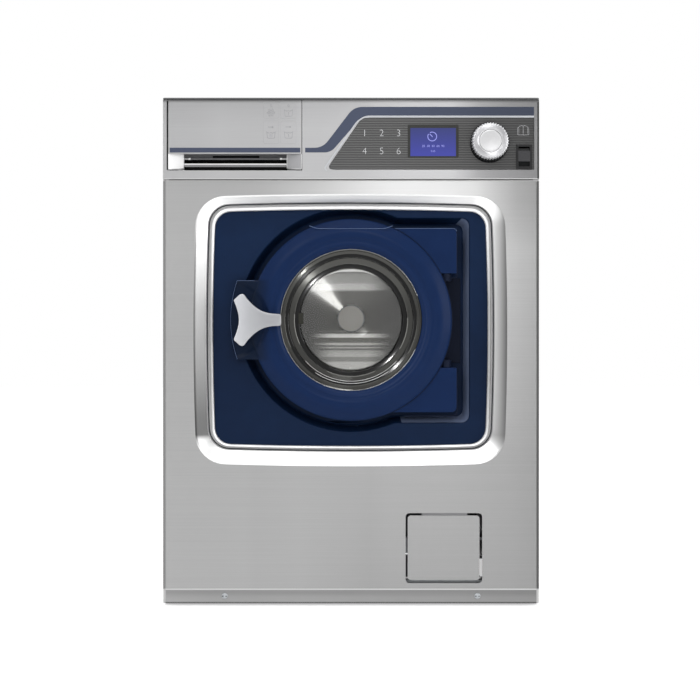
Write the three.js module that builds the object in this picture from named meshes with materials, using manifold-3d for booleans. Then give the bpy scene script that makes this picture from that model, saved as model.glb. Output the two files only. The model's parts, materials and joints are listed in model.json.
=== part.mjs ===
// Front-loading washing machine, in millimetres. +Z is up, the front faces -Y, and the origin is on the
// floor under the middle. Inside the model, y counts from the front panel's face towards the back.
import * as THREE from "three";
import { mergeVertices } from "three/addons/utils/BufferGeometryUtils.js";
import Module from "manifold-3d";

const wasm = await Module();
wasm.setup();

// Driving dimensions

const gap = 0.3; // between pieces that touch
const overrun = 2; // how far a cut runs past a face
const weld = 1e-4; // points closer than this are one point
const slack = 0.8; // between pieces that slide or hang loosely

const cabinet = {
  width: 595,
  depth: 610,
  height: 804,
  floorGap: 4,
  lid: 3,
  lidCorner: 4,
  sheet: 1.5,
  sideReturn: 10,
  reveal: 4,
};

const frame = { bottom: 10, top: 40, rail: 34, skin: 2, bar: 44, pumpPlate: 124 };

const foot = { pad: 18, padHeight: 5, stud: 5, nut: 9, nutHeight: 3, rise: 46, inset: 30, boss: 12 };

const panel = { bottom: 26.9, top: 672.6, fold: 12 };

const plinth = { top: 25.4, proud: 0.5, screwX: 200, screwZ: 15.9, screwHead: 4.7, screwRise: 2 };
const screw = { shank: 2.2, slot: 1.2, slotDeep: 1.1, length: 9 };

// The pressed frame round the door, as two rounded rectangles: its outer edge and its seam
const press = {
  middleX: -1.1,
  outerHalf: 245.3,
  outerBottom: 224,
  outerTop: 648.8,
  outerCorner: 48,
  seamHalf: 225.5,
  seamBottom: 246.9,
  seamTop: 636.2,
  seamCorner: 34,
  deep: 24.2,
  bow: 3,
};
const pressShares = [0, 0.35, 0.7, 1];
const pressPower = 1.5;

const surround = { seam: 0.8, half: 215.7, bottom: 254.5, top: 625.1, corner: 26, proud: 6.7, shoulder: 2.5 };

// The blue panel behind the surround, with its round channel and the hinge bay on the right
const recess = {
  wall: 3,
  lap: 6,
  channel: 178.5,
  bayRight: 189,
  bayTop: 615,
  bayBottom: 288,
  bayCorner: 12,
  slope: 8.5,
  deep: 28,
  mouth: 128,
};

const axisZ = 452.6; // height of the door's and the drum's centre

const doorRing = {
  outer: 160.3,
  inner: 112.7,
  crest: 4,
  crestIn: 118,
  crestOut: 146,
  edge: 12,
  back: 15.7,
  lip: 6.5,
  ledge: 144,
  ledgeDeep: 5,
};
const tab = { outer: 192, half: 62.9, front: 14, back: 22, start: 147 };
const scoop = { middle: -194, radius: 64, floor: 12 };
const windowTrim = { inner: 101, outer: 112.4, front: 5.5, back: 16, shoulder: 2.5 };
const glass = { flange: 111, front: 16.3, thick: 5, wallTop: 98, wallEnd: 84, deep: 83, sag: 3 };
const doorFrame = { outer: 146, inner: 100.5, seat: 111.6, back: 34 };
const hingeArm = {
  left: 60,
  right: 168.2,
  upperLow: 526.5,
  upperHigh: 598.2,
  lowerLow: 305.5,
  lowerHigh: 376.5,
  corner: 9,
  back: 38,
  clear: 120,
};
const pivot = { x: 152, y: 24, pin: 4, pinRise: 14, knuckle: 8, knuckleHeight: 12, stem: 12 };
const bracket = { left: 140, right: 176, inset: 7, thick: 3 };

const handle = {
  front: -8,
  thick: 7,
  pivotX: -122,
  pivotY: 8,
  boss: 4.5,
  pin: 2,
  pinHalf: 14,
  bossHalf: 8,
  pocketSide: 7,
  stemEnd: -110.1,
  stemHalf: 9.6,
  stemRound: 2.6,
  waist: -140.5,
  waistHalf: 14.6,
  flank: -153.3,
  flankHalf: 22.7,
  shoulder: -164.1,
  shoulderHalf: 33.2,
  tip: -169,
  tipHalf: 40.8,
  tipOuter: -185,
  tipOuterHalf: 31.2,
  hollow: -177.2,
  hollowHalf: 11,
  palm: -177.8,
};
const hook = {
  x: -157,
  y: 29,
  half: 5.7,
  arm: 4,
  reach: 72,
  barb: 7,
  barbThick: 8,
  pin: 2.5,
  ear: 3,
  earHalf: 6,
  earBack: 35,
  slotIn: 14,
  slotOut: 7,
  slotHalf: 8,
};
const lock = {
  left: 19,
  right: 18.5,
  half: 26,
  back: 78.5,
  plate: 3,
  pocketLeft: 13.5,
  pocketRight: 16.5,
  pocketBack: 75.5,
};

const fascia = { face: -3, back: 1.5, bottom: 674.9, lip: 12, lipThick: 2.5 };
const drawer = {
  left: -288.9,
  right: -78.2,
  bottom: 715.3,
  top: 800.2,
  front: 3,
  notchLeft: -290,
  notchRight: -77.5,
  notchBottom: 689,
  cheekBottom: 690.5,
  cheekIn: 22,
  cheekDeep: 21,
  cheekWall: 2.5,
  barLow: 696.9,
  barHigh: 700.7,
  barFront: 9,
  barBack: 14,
  railLow: 707.2,
  railHigh: 709.6,
  railFront: 13,
  railBack: 18,
};
const tray = {
  left: -287.5,
  right: -79.5,
  bottom: 722,
  top: 792,
  back: 205,
  wall: 2,
  divider: 0.36,
  split: 0.5,
};
const housing = { wall: 2, front: 3.6, back: 240, bottom: 687, floor: 718, step: 50, top: 798.5 };
const spout = { x: -120, y: 210, radius: 12.7, bore: 10, drop: 6 };
const hose = { outer: 16, wall: 2.2, fold: 3, folds: 3, neckTop: 682 };

// The dark ribbed field of the controls
const inlay = {
  top: 772.1,
  bottom: 690.8,
  right: 288.9,
  slantTop: 17.7,
  slantBottom: -38,
  corner: 6,
  blunt: 10,
  proud: 0.2,
  flange: 4,
  flangeThick: 2.5,
};
const key = { width: 22, height: 24, thick: 3, stem: 2, travel: 0.8 };
const keyColumns = [21.5, 48.4, 75.3];
const keyRows = [749.3, 720];
const display = { left: 93.7, right: 166, bottom: 711.4, top: 756.3, face: -2.6 };
const board = { left: 8, right: 250, bottom: 698, top: 768, front: 6.3, thick: 2, standoff: 4 };
const knob = {
  x: 219.3,
  z: 734.3,
  radius: 29.5,
  front: -25,
  back: -5,
  crown: 26,
  chamfer: 3,
  web: -13,
  shaft: 3,
  hole: 8,
};
const button = { radius: 18, front: -24, thick: 7, crown: 1 };
const rocker = {
  left: 261.1,
  right: 285.9,
  bottom: 691.6,
  top: 729.9,
  rim: 1.2,
  lap: 1.6,
  back: 16,
  wall: 2,
  pivotY: 5,
  pin: 1.5,
  reach: 9,
  tilt: 10,
};

const hatch = {
  left: 86.4,
  right: 207.6,
  bottom: 36.1,
  top: 146.9,
  corner: 7,
  leafLeft: 89.7,
  leafRight: 203.3,
  leafBottom: 41,
  leafTop: 143.1,
  leafCorner: 5,
  thick: 2,
  fold: 8,
  pivotY: 6,
  pivotRise: 3,
  pin: 2,
  ear: 4,
  earHalf: 5,
};
const pump = { x: 146, z: 92, radius: 34, front: 22, back: 120, motor: 42, motorBack: 190, foot: 18 };
const cap = { radius: 31, front: 13, thick: 6, grip: 7, gripThick: 6, stub: 24, stubDeep: 18, wall: 4 };

const tub = {
  outer: 250,
  wall: 3,
  front: 97,
  flange: 258,
  flangeThick: 4,
  back: 470,
  boss: 42,
  bossBack: 505,
};
const cover = { front: 92, neck: 141, neckWall: 3, neckFront: 80 };
const weight = { front: 62, inner: 146, outer: 240, sweep: 140 };
const gasket = { lip: 109, wall: 3, seat: 4 };
const bearing = { outer: 25.7, inner: 15.3, front: 476, back: 500 };
const drum = { radius: 232, wall: 1.5, front: 110, back: 450, mouth: 135, roll: 5, hole: 24.5 };
const lifter = { count: 3, base: 64, crest: 30, height: 44, wall: 2, margin: 20 };
const spider = { arm: 34, thick: 11, hub: 32, shaft: 15, end: 540, disc: 24, discFront: 444, reach: 215 };
const pulley = { radius: 150, front: 512, width: 16, rim: 10, web: 6, hub: 28, lip: 3 };
const motor = {
  x: 110,
  drop: 322.6,
  radius: 55,
  front: 270,
  back: 430,
  lug: 30,
  lugHeight: 9,
  lugLength: 130,
};
const rotor = { shaft: 8, socket: 30, pulley: 15, flange: 20, flangeThick: 2 };
const belt = { width: 12, thick: 4 };
// Springs, dampers, valve, gland and drain stand in from the cabinet's side and down from its top
const strut = {
  y: 300,
  inset: 92.5,
  cylinder: 15,
  rod: 6,
  split: 0.52,
  eye: 10,
  lug: 24,
  lugDrop: 168,
  lugRise: 48,
};
const spring = {
  inset: 27.5,
  radius: 11,
  wire: 2,
  coils: 6,
  stub: 8,
  drop: 43.7,
  plate: 3,
  ear: 8,
  earRise: 95,
};
const springPlate = { half: 12 };

const valve = {
  inset: 87.5,
  pitch: 32,
  drop: 59,
  nozzle: 12.5,
  bore: 8,
  reach: 25,
  deep: 50,
  half: 19,
  side: 18,
};
const gland = { inset: 62.5, drop: 114, radius: 14, bore: 5, reach: 14, nut: 17, nutThick: 6 };
const drain = { inset: 47.5, z: 72, radius: 13, bore: 10, elbow: 160, socket: 60 };

const round = 20; // sides of large round pieces
const fine = 32; // sides of the door's rings
const small = 12; // sides of small round pieces
const bend = 4; // steps of a rounded corner

// Sizes worked out from the others

const half = cabinet.width / 2;
const lidUnder = cabinet.height - cabinet.lid;
const behindPanel = cabinet.sheet + gap;
const panelHalf = half - cabinet.reveal;
const sideTop = lidUnder - gap;
const sideBack = cabinet.depth - cabinet.sheet - gap;
const plateau = press.deep + cabinet.sheet + gap;
const recessFloor = plateau + recess.deep;
const recessBack = recessFloor + recess.wall;
const strutX = half - strut.inset;
const springX = half - spring.inset;
const hangerZ = sideTop - spring.drop;
const valveX = [-half + valve.inset, -half + valve.inset + valve.pitch];
const valveZ = cabinet.height - valve.drop;
const glandX = -half + gland.inset;
const glandZ = cabinet.height - gland.drop;
const drainX = half - drain.inset;

// Solids

function solidOf(geometry) {
  const bare = new THREE.BufferGeometry();
  bare.setAttribute("position", geometry.getAttribute("position"));
  bare.setIndex(geometry.index);
  const merged = mergeVertices(bare, weld);
  const index = merged.index.array;
  const faces = [];
  for (let i = 0; i < index.length; i += 3) {
    const [a, b, c] = [index[i], index[i + 1], index[i + 2]];
    if (a !== b && b !== c && c !== a) faces.push(a, b, c);
  }
  const vertProperties = merged.attributes.position.array;
  const made = new wasm.Manifold(
    new wasm.Mesh({ numProp: 3, vertProperties, triVerts: new Uint32Array(faces) }),
  );
  if (made.volume() > 0) return made;
  faces.reverse(); // the surface came out inside out
  return new wasm.Manifold(
    new wasm.Mesh({ numProp: 3, vertProperties, triVerts: new Uint32Array(faces) }),
  );
}

const join = (first, ...rest) => rest.reduce((a, b) => a.add(b), first);
const cut = (first, ...rest) => rest.reduce((a, b) => a.subtract(b), first);
const common = (a, b) => a.intersect(b);

function block(x0, x1, y0, y1, z0, z1) {
  const geometry = new THREE.BoxGeometry(x1 - x0, y1 - y0, z1 - z0);
  geometry.translate((x0 + x1) / 2, (y0 + y1) / 2, (z0 + z1) / 2);
  return solidOf(geometry);
}

// An outline in x and z, filled from y0 to y1
function plate(shape, y0, y1) {
  const geometry = new THREE.ExtrudeGeometry(shape, {
    depth: y1 - y0, bevelEnabled: false, curveSegments: bend,
  });
  geometry.rotateX(Math.PI / 2);
  geometry.translate(0, y1, 0);
  return solidOf(geometry);
}

// An outline in x and y, filled from z0 to z1
function column(shape, z0, z1) {
  const geometry = new THREE.ExtrudeGeometry(shape, {
    depth: z1 - z0, bevelEnabled: false, curveSegments: bend,
  });
  geometry.translate(0, 0, z0);
  return solidOf(geometry);
}

// An outline in y and z, filled from x0 to x1
function beam(shape, x0, x1) {
  const geometry = new THREE.ExtrudeGeometry(shape, {
    depth: x1 - x0, bevelEnabled: false, curveSegments: bend,
  });
  geometry.rotateX(Math.PI / 2);
  geometry.rotateZ(Math.PI / 2);
  geometry.translate(x0, 0, 0);
  return solidOf(geometry);
}

function polygon(points) {
  return new THREE.Shape(points.map(([a, b]) => new THREE.Vector2(a, b)));
}

function roundedShape(left, right, low, high, corner) {
  const shape = new THREE.Shape();
  shape.absarc(right - corner, low + corner, corner, -Math.PI / 2, 0);
  shape.absarc(right - corner, high - corner, corner, 0, Math.PI / 2);
  shape.absarc(left + corner, high - corner, corner, Math.PI / 2, Math.PI);
  shape.absarc(left + corner, low + corner, corner, Math.PI, Math.PI * 1.5);
  shape.closePath();
  return shape;
}

// A profile of [radius, y] turned about the y axis, on the axis or closed on itself
function turned(profile, sides) {
  const closed = profile[0][0] > 0 ? [...profile, profile[0]] : profile;
  const points = closed.map(([r, y]) => new THREE.Vector2(r, y));
  return solidOf(new THREE.LatheGeometry(points, sides));
}

function rodY(radius, y0, y1, x = 0, z = 0, sides = small) {
  return turned([[0, y0], [radius, y0], [radius, y1], [0, y1]], sides).translate([x, 0, z]);
}

function rodZ(radius, z0, z1, x = 0, y = 0, sides = small) {
  return rodY(radius, -z1, -z0, x, 0, sides).rotate([-90, 0, 0]).translate([0, y, 0]);
}

function rodX(radius, x0, x1, y = 0, z = 0, sides = small) {
  return rodY(radius, -x1, -x0, 0, z, sides).rotate([0, 0, 90]).translate([0, y, 0]);
}

// Loops of equally many points, joined in a ring of loops that closes on itself
function loopRing(loops) {
  const count = loops[0].length;
  const positions = [];
  const index = [];
  loops.forEach((loop, row) => {
    const next = (row + 1) % loops.length;
    loop.forEach((point, at) => {
      positions.push(point.x, point.y, point.z);
      const after = (at + 1) % count;
      const [a, b] = [row * count + at, row * count + after];
      const [c, d] = [next * count + after, next * count + at];
      index.push(a, b, c, a, c, d);
    });
  });
  const geometry = new THREE.BufferGeometry();
  geometry.setAttribute("position", new THREE.Float32BufferAttribute(positions, 3));
  geometry.setIndex(index);
  return solidOf(geometry);
}

// A rounded rectangle as a loop at depth y, with its straight sides bowed out in the middle
function rectangleLoop(box, y, bow = 0) {
  const middleX = press.middleX;
  const middleZ = (box.bottom + box.top) / 2;
  const [wide, tall] = [box.half, (box.top - box.bottom) / 2];
  const points = [];
  for (const [sx, sz, start] of [[1, 1, 0], [-1, 1, 1], [-1, -1, 2], [1, -1, 3]]) {
    for (let i = 0; i <= bend; i += 1) {
      const angle = ((start + i / bend) * Math.PI) / 2;
      const x = sx * (wide - box.corner) + box.corner * Math.cos(angle);
      const z = sz * (tall - box.corner) + box.corner * Math.sin(angle);
      points.push(new THREE.Vector3(middleX + x, y, middleZ + z));
    }
    const [alongX, alongZ] = start % 2 === 0 ? [1, 0] : [0, 1];
    for (const share of [0.5, 0, -0.5]) {
      const swell = bow * (1 - share * share);
      const x = alongX ? sx * share * wide : sx * (wide + swell);
      const z = alongZ ? sz * share * tall : sz * (tall + swell);
      points.push(new THREE.Vector3(middleX + x, y, middleZ + z));
    }
  }
  return points;
}

// The channel and bay outline of the recess, drawn in by inset, at depth y
function recessLoop(inset, y) {
  const radius = recess.channel - inset;
  const right = recess.bayRight - inset;
  const top = recess.bayTop - inset;
  const bottom = recess.bayBottom + inset;
  const corner = recess.bayCorner;
  const points = [];
  const add = (x, z) => points.push(new THREE.Vector3(x, y, z));
  for (let i = 0; i <= bend; i += 1) {
    const angle = ((1 - i / bend) * Math.PI) / 2;
    add(right - corner + corner * Math.cos(angle), top - corner + corner * Math.sin(angle));
  }
  for (let i = 0; i <= bend; i += 1) {
    const angle = (-i / bend) * (Math.PI / 2);
    add(right - corner + corner * Math.cos(angle), bottom + corner + corner * Math.sin(angle));
  }
  const from = -Math.asin((axisZ - bottom) / radius);
  const to = -(Math.PI * 2 - Math.asin((top - axisZ) / radius));
  for (let i = 0; i <= round; i += 1) {
    const angle = from + ((to - from) * i) / round;
    add(radius * Math.cos(angle), axisZ + radius * Math.sin(angle));
  }
  return points.reverse();
}

function loopShape(points) {
  return new THREE.Shape(points.map((p) => new THREE.Vector2(p.x, p.z)));
}

const mirrored = (solid) => solid.mirror([1, 0, 0]);

// Cabinet

function baseFrame() {
  const side = half - cabinet.sheet - gap;
  const front = panel.fold + gap;
  const back = sideBack - cabinet.sheet - gap;
  const inner = frame.rail;
  const { skin } = frame;
  const body = block(-side, side, front, back, frame.bottom, frame.top);
  const middle = block(
    -side + inner, side - inner, front + inner, back - inner, frame.bottom - overrun, frame.top + overrun,
  );
  const channelOut = block(
    -side + skin, side - skin, front + skin, back - skin, frame.bottom - overrun, frame.top - skin,
  );
  const channelIn = block(
    -side + inner - skin, side - inner + skin, front + inner - skin, back - inner + skin,
    frame.bottom - 2 * overrun, frame.top,
  );
  const bar = (middleY, width) => block(
    -side + inner - skin, side - inner + skin, middleY - width / 2, middleY + width / 2,
    frame.top - skin, frame.top,
  );
  const pumpPlate = block(
    pump.x - frame.pumpPlate / 2, pump.x + frame.pumpPlate / 2, front + inner - skin, strut.y,
    frame.top - skin, frame.top,
  );
  const bosses = footPlaces().map(([, x, y]) => rodZ(foot.boss, frame.bottom, frame.top, x, y));
  const bores = footPlaces().map(([, x, y]) =>
    rodZ(foot.stud + gap, frame.bottom - overrun, frame.top + overrun, x, y),
  );
  const ring = cut(body, middle, cut(channelOut, channelIn));
  return cut(join(ring, bar(strut.y, frame.bar), pumpPlate, ...bosses), ...bores);
}

function footPlaces() {
  const x = half - cabinet.sheet - gap - foot.inset;
  const front = panel.fold + gap + foot.inset;
  const back = sideBack - cabinet.sheet - gap - foot.inset;
  return [
    ["foot_front_left", -x, front],
    ["foot_front_right", x, front],
    ["foot_rear_left", -x, back],
    ["foot_rear_right", x, back],
  ];
}

// Built at its own place: pad, locknut against the frame, and stud
function levellingFoot() {
  const nutTop = frame.bottom - gap;
  return join(
    rodZ(foot.pad, 0, foot.padHeight),
    rodZ(foot.nut, nutTop - foot.nutHeight, nutTop, 0, 0, 6),
    rodZ(foot.stud, 0, foot.rise),
  );
}

function sidePanel() {
  const { sheet, sideReturn } = cabinet;
  const [front, back, inner] = [behindPanel, sideBack, half - sideReturn];
  const outline = polygon([
    [half, front], [half, back], [inner, back], [inner, back - sheet], [half - sheet, back - sheet],
    [half - sheet, front + sheet], [inner, front + sheet], [inner, front],
  ]);
  const hanger = block(
    springX - springPlate.half, half - sheet / 2, strut.y - springPlate.half, strut.y + springPlate.half,
    hangerZ, hangerZ + spring.plate,
  );
  return join(column(outline, cabinet.floorGap, sideTop), hanger);
}

function rearPanel() {
  const { depth, sheet } = cabinet;
  const [y0, y1] = [depth - sheet - overrun, depth + overrun];
  return cut(
    block(-half, half, depth - sheet, depth, frame.bottom, sideTop),
    ...valveX.map((x) => rodY(valve.nozzle + gap, y0, y1, x, valveZ)),
    rodY(drain.radius + gap, y0, y1, drainX, drain.z),
    rodY(gland.radius + gap, y0, y1, glandX, glandZ),
  );
}

function topPanel() {
  const outline = roundedShape(-half, half, fascia.face, cabinet.depth, cabinet.lidCorner);
  return column(outline, lidUnder, cabinet.height);
}

const pressOuter = {
  half: press.outerHalf,
  bottom: press.outerBottom,
  top: press.outerTop,
  corner: press.outerCorner,
};
const pressSeam = {
  half: press.seamHalf,
  bottom: press.seamBottom,
  top: press.seamTop,
  corner: press.seamCorner,
};

function between(a, b, share) {
  const mix = (name) => a[name] + (b[name] - a[name]) * share;
  return { half: mix("half"), bottom: mix("bottom"), top: mix("top"), corner: mix("corner") };
}

function drawnIn(box, by) {
  return { half: box.half - by, bottom: box.bottom + by, top: box.top - by, corner: box.corner - by };
}

function frontPanel() {
  const { sheet } = cabinet;
  const { bow, deep } = press;
  const skin = (offset) => pressShares.map((share) => {
    const box = drawnIn(between(pressOuter, pressSeam, share), offset === 0 ? 0 : -sheet * share);
    return rectangleLoop(box, deep * share ** pressPower + offset, bow);
  });
  const brim = (y) => rectangleLoop(drawnIn(pressOuter, -overrun), y, bow);
  const funnel = loopRing([brim(0), ...skin(0), ...skin(sheet).reverse(), brim(sheet)]);
  const sheetPlate = cut(
    block(-panelHalf, panelHalf, 0, sheet, panel.bottom, panel.top),
    plate(loopShape(rectangleLoop(pressOuter, 0, bow)), -overrun, sheet + overrun),
    plate(
      roundedShape(hatch.left, hatch.right, hatch.bottom, hatch.top, hatch.corner),
      -overrun, sheet + overrun,
    ),
  );
  const foldHalf = half - cabinet.sideReturn - slack;
  const fold = block(-foldHalf, foldHalf, 0, panel.fold, panel.top - sheet, panel.top);
  const earX = [hatchPins()[0] - hatch.ear, hatchPins()[1]];
  const pivotZ = hatch.leafBottom + hatch.pivotRise;
  const ears = earX.map((x) => block(
    x, x + hatch.ear, sheet / 2, hatch.pivotY + hatch.earHalf, pivotZ - hatch.earHalf, pivotZ + hatch.earHalf,
  ));
  const bore = rodX(
    hatch.pin + gap, earX[0] - overrun, earX[1] + hatch.ear + overrun, hatch.pivotY, pivotZ,
  );
  return join(sheetPlate, funnel, fold, ...ears.map((ear) => cut(ear, bore)));
}

// Where the hatch's pin ends meet the front panel's ears
function hatchPins() {
  return [hatch.left - gap, hatch.right + gap];
}

function plinthStrip() {
  const y0 = -plinth.proud;
  const y1 = cabinet.sheet - plinth.proud;
  const foldHalf = half - cabinet.sideReturn - slack;
  return cut(
    join(
      block(-panelHalf, panelHalf, y0, y1, cabinet.floorGap, plinth.top),
      block(-foldHalf, foldHalf, y0, panel.fold, cabinet.floorGap, cabinet.floorGap + cabinet.sheet),
    ),
    ...[-1, 1].map((side) =>
      rodY(screw.shank + gap, y0 - overrun, y1 + overrun, side * plinth.screwX, plinth.screwZ),
    ),
  );
}

// Built at its own place: domed head, slot and shank
function plinthScrew() {
  const face = -plinth.proud - gap;
  const head = turned([
    [0, face - plinth.screwRise],
    [plinth.screwHead * Math.cos(Math.PI / 3), face - plinth.screwRise * Math.sin(Math.PI / 3)],
    [plinth.screwHead, face],
    [0, face],
  ], small);
  const slotTop = face - plinth.screwRise;
  return cut(
    join(head, rodY(screw.shank, face - gap, face + screw.length)),
    block(
      -plinth.screwHead - overrun, plinth.screwHead + overrun, slotTop - overrun, slotTop + screw.slotDeep,
      -screw.slot / 2, screw.slot / 2,
    ),
  );
}

function doorSurround() {
  const { seam, shoulder, proud } = surround;
  const outer = drawnIn(pressSeam, seam);
  const inner = { half: surround.half, bottom: surround.bottom, top: surround.top, corner: surround.corner };
  const back = plateau - gap;
  const face = back - proud - shoulder;
  return loopRing([
    rectangleLoop(outer, back, press.bow),
    rectangleLoop(outer, back - proud, press.bow),
    rectangleLoop(between(outer, inner, 1 / 3), face, press.bow),
    rectangleLoop(between(outer, inner, 2 / 3), face, press.bow),
    rectangleLoop(inner, back - proud, press.bow),
    rectangleLoop(inner, back, press.bow),
  ]);
}

function recessPanel() {
  const { wall, slope, lap } = recess;
  const rim = plate(
    loopShape(rectangleLoop(drawnIn(pressSeam, -lap), 0)), plateau, plateau + wall,
  );
  const walls = loopRing([
    recessLoop(0, plateau), recessLoop(slope, recessFloor), recessLoop(slope, recessBack),
    recessLoop(slope - wall, recessBack), recessLoop(-wall, plateau + wall), recessLoop(-wall, plateau),
  ]);
  const floor = plate(loopShape(recessLoop(slope - weld, 0)), recessFloor, recessBack);
  const slot = block(
    hook.x - hook.slotOut, hook.x + hook.slotIn, recessFloor - overrun, recessBack + overrun,
    axisZ - hook.slotHalf, axisZ + hook.slotHalf,
  );
  return join(
    cut(rim, plate(loopShape(recessLoop(-weld, 0)), plateau - overrun, plateau + wall + overrun)),
    walls,
    cut(floor, rodY(recess.mouth, recessFloor - overrun, recessBack + overrun, 0, axisZ, fine), slot),
  );
}

function hingeBracket() {
  const { x, y, knuckle, knuckleHeight, stem, pin, pinRise } = pivot;
  const back = recessFloor - gap;
  const front = back - bracket.thick;
  const [low, high] = [hingeArm.lowerHigh + gap, hingeArm.upperLow - gap];
  const side = (end, inward) => {
    const [z0, z1] = inward > 0 ? [end, end + knuckleHeight] : [end - knuckleHeight, end];
    const [p0, p1] = inward > 0 ? [end - pinRise, end] : [end, end + pinRise];
    return [
      rodZ(knuckle, z0, z1, x, y),
      block(x - stem / 2, x + stem / 2, y, back, z0, z1),
      rodZ(pin, p0, p1, x, y),
    ];
  };
  return join(
    block(bracket.left, bracket.right, front, back, low + bracket.inset, high - bracket.inset),
    ...side(low, 1),
    ...side(high, -1),
  );
}

function doorLock() {
  const front = recessBack + gap;
  const body = block(hook.x - lock.left, hook.x + lock.right, front, lock.back, -lock.half, lock.half);
  const slot = block(
    hook.x - hook.arm - 1.3 * gap, hook.x + hook.slotIn, front - overrun, front + lock.plate + overrun,
    -hook.slotHalf, hook.slotHalf,
  );
  const pocket = block(
    hook.x - lock.pocketLeft, hook.x + lock.pocketRight, front + lock.plate, lock.pocketBack,
    -hook.slotHalf - slack, hook.slotHalf + slack,
  );
  return cut(body, slot, pocket).translate([0, 0, axisZ]);
}

// Fascia and controls

function inlayOutline(grow) {
  const { corner, blunt } = inlay;
  const right = Math.min(inlay.right + grow, grow > gap ? half - cabinet.sideReturn - slack : Infinity);
  const [low, high] = [inlay.bottom - grow, inlay.top + grow];
  const shape = new THREE.Shape();
  shape.moveTo(inlay.slantBottom - grow + blunt, low);
  shape.lineTo(right, low);
  shape.lineTo(right, high);
  shape.lineTo(inlay.slantTop - grow + corner, high);
  shape.quadraticCurveTo(
    inlay.slantTop - grow, high, ...slantPoint(high - corner, grow),
  );
  shape.lineTo(...slantPoint(low + blunt, grow));
  shape.quadraticCurveTo(...slantPoint(low, grow), inlay.slantBottom - grow + blunt, low);
  return shape;
}

// A point at height z on the inlay's slanted left edge
function slantPoint(z, grow) {
  const share = (z - inlay.bottom) / (inlay.top - inlay.bottom);
  return [inlay.slantBottom + (inlay.slantTop - inlay.slantBottom) * share - grow, z];
}

function fasciaPanel() {
  const { face, back, bottom, lip, lipThick } = fascia;
  const lipHalf = half - cabinet.sideReturn - slack;
  return cut(
    join(
      block(-half, half, face, back, bottom, sideTop),
      block(-lipHalf, lipHalf, face, lip, bottom, bottom + lipThick),
    ),
    block(drawer.notchLeft, drawer.notchRight, face - overrun, lip, drawer.notchBottom, sideTop + overrun),
    plate(inlayOutline(gap), face - overrun, back + overrun),
  );
}

function keyPlaces() {
  return keyRows.flatMap((z, row) =>
    keyColumns.map((x, at) => ["key_" + (row * keyColumns.length + at + 1), x, z]),
  );
}

function fasciaInlay() {
  const front = fascia.face - inlay.proud;
  const flangeFront = fascia.back + gap;
  const back = flangeFront + inlay.flangeThick;
  const opening = (x0, x1, z0, z1) => block(x0, x1, front - overrun, back + overrun, z0, z1);
  const standoffs = [board.left, board.right - board.standoff].flatMap((x) =>
    [board.bottom, board.top - board.standoff].map((z) =>
      block(x, x + board.standoff, back - gap, board.front - gap, z, z + board.standoff),
    ),
  );
  const limit = half - cabinet.sideReturn - slack;
  const beyond = block(limit, half, fascia.back, back + overrun, inlay.bottom - overrun, inlay.top + overrun);
  return cut(
    join(
      cut(plate(inlayOutline(0), front, back), beyond),
      plate(inlayOutline(inlay.flange), flangeFront, back),
      ...standoffs,
    ),
    ...keyPlaces().map(([, x, z]) =>
      opening(
        x - key.width / 2 - gap, x + key.width / 2 + gap, z - key.height / 2 - gap, z + key.height / 2 + gap,
      ),
    ),
    opening(display.left - gap, display.right + gap, display.bottom - gap, display.top + gap),
    rodY(knob.hole, front - overrun, back + overrun, knob.x, knob.z),
    opening(
      rocker.left + rocker.lap - gap, rocker.right - rocker.lap + gap,
      rocker.bottom + rocker.lap - gap, rocker.top - rocker.lap + gap,
    ),
  );
}

// Built at its own place: cap in front, stem towards the board behind
function numberKey() {
  const front = fascia.face - inlay.proud;
  const { width, height, thick, stem, travel } = key;
  return join(
    block(-width / 2, width / 2, front, front + thick, -height / 2, height / 2),
    rodY(stem, front + thick - gap, board.front - travel - gap, 0, 0, 12),
  );
}

function displayModule() {
  return join(
    block(board.left, board.right, board.front, board.front + board.thick, board.bottom, board.top),
    block(display.left, display.right, display.face, board.front + gap, display.bottom, display.top),
    rodY(knob.shaft, knob.web + gap, board.front + gap, knob.x, knob.z),
  );
}

function selectorKnob() {
  const { radius, front, back, crown, chamfer, web, shaft } = knob;
  const hole = button.radius + gap;
  return turned([
    [shaft + gap, web], [shaft + gap, back], [crown, back], [radius, back - chamfer],
    [radius, front + 2 * chamfer], [crown, front + chamfer / 2], [crown - chamfer, front],
    [hole + chamfer, front], [hole, front + chamfer / 2], [hole, web],
  ], round);
}

function startButton() {
  const { radius, front, thick, crown } = button;
  return turned([
    [0, front], [radius - 2 * crown, front], [radius, front + crown], [radius, front + thick],
    [0, front + thick],
  ], round);
}

function rockerHousing() {
  const { left, right, bottom, top, rim, lap, back, wall } = rocker;
  const face = fascia.face - inlay.proud - gap;
  const edge = lap + wall;
  const middle = (bottom + top) / 2;
  const bore = rodX(rocker.pin + gap, left, right, rocker.pivotY, middle, 12);
  return cut(
    join(
      block(left, right, face - rim, face, bottom, top),
      block(left + lap, right - lap, face - gap, back, bottom + lap, top - lap),
    ),
    block(left + edge, right - edge, face - rim - overrun, back + overrun, bottom + edge, top - edge),
    common(bore, block(left + lap + wall / 2, right - lap - wall / 2, 0, back, bottom, top)),
  );
}

// Built round its own pin: two faces at an angle, tilted so that the upper half stands out
function powerRocker() {
  const { left, right, bottom, top, lap, wall, reach, pin, tilt, pivotY } = rocker;
  const edge = lap + wall + gap;
  const tall = (top - bottom) / 2 - edge - slack;
  const angle = THREE.MathUtils.degToRad(tilt);
  const front = fascia.face - pivotY;
  const corner = (z) => [front + tall * Math.sin(angle), z];
  const body = polygon([
    corner(-tall), [front, 0], corner(tall), [reach / 2, tall / 2], [reach / 2, -tall / 2],
  ]);
  const wide = (right - left) / 2;
  return join(
    beam(body, -wide + edge, wide - edge),
    rodX(pin, -wide + edge - wall / 2, wide - edge + wall / 2, 0, 0, 12),
  ).rotate([tilt, 0, 0]);
}

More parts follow.
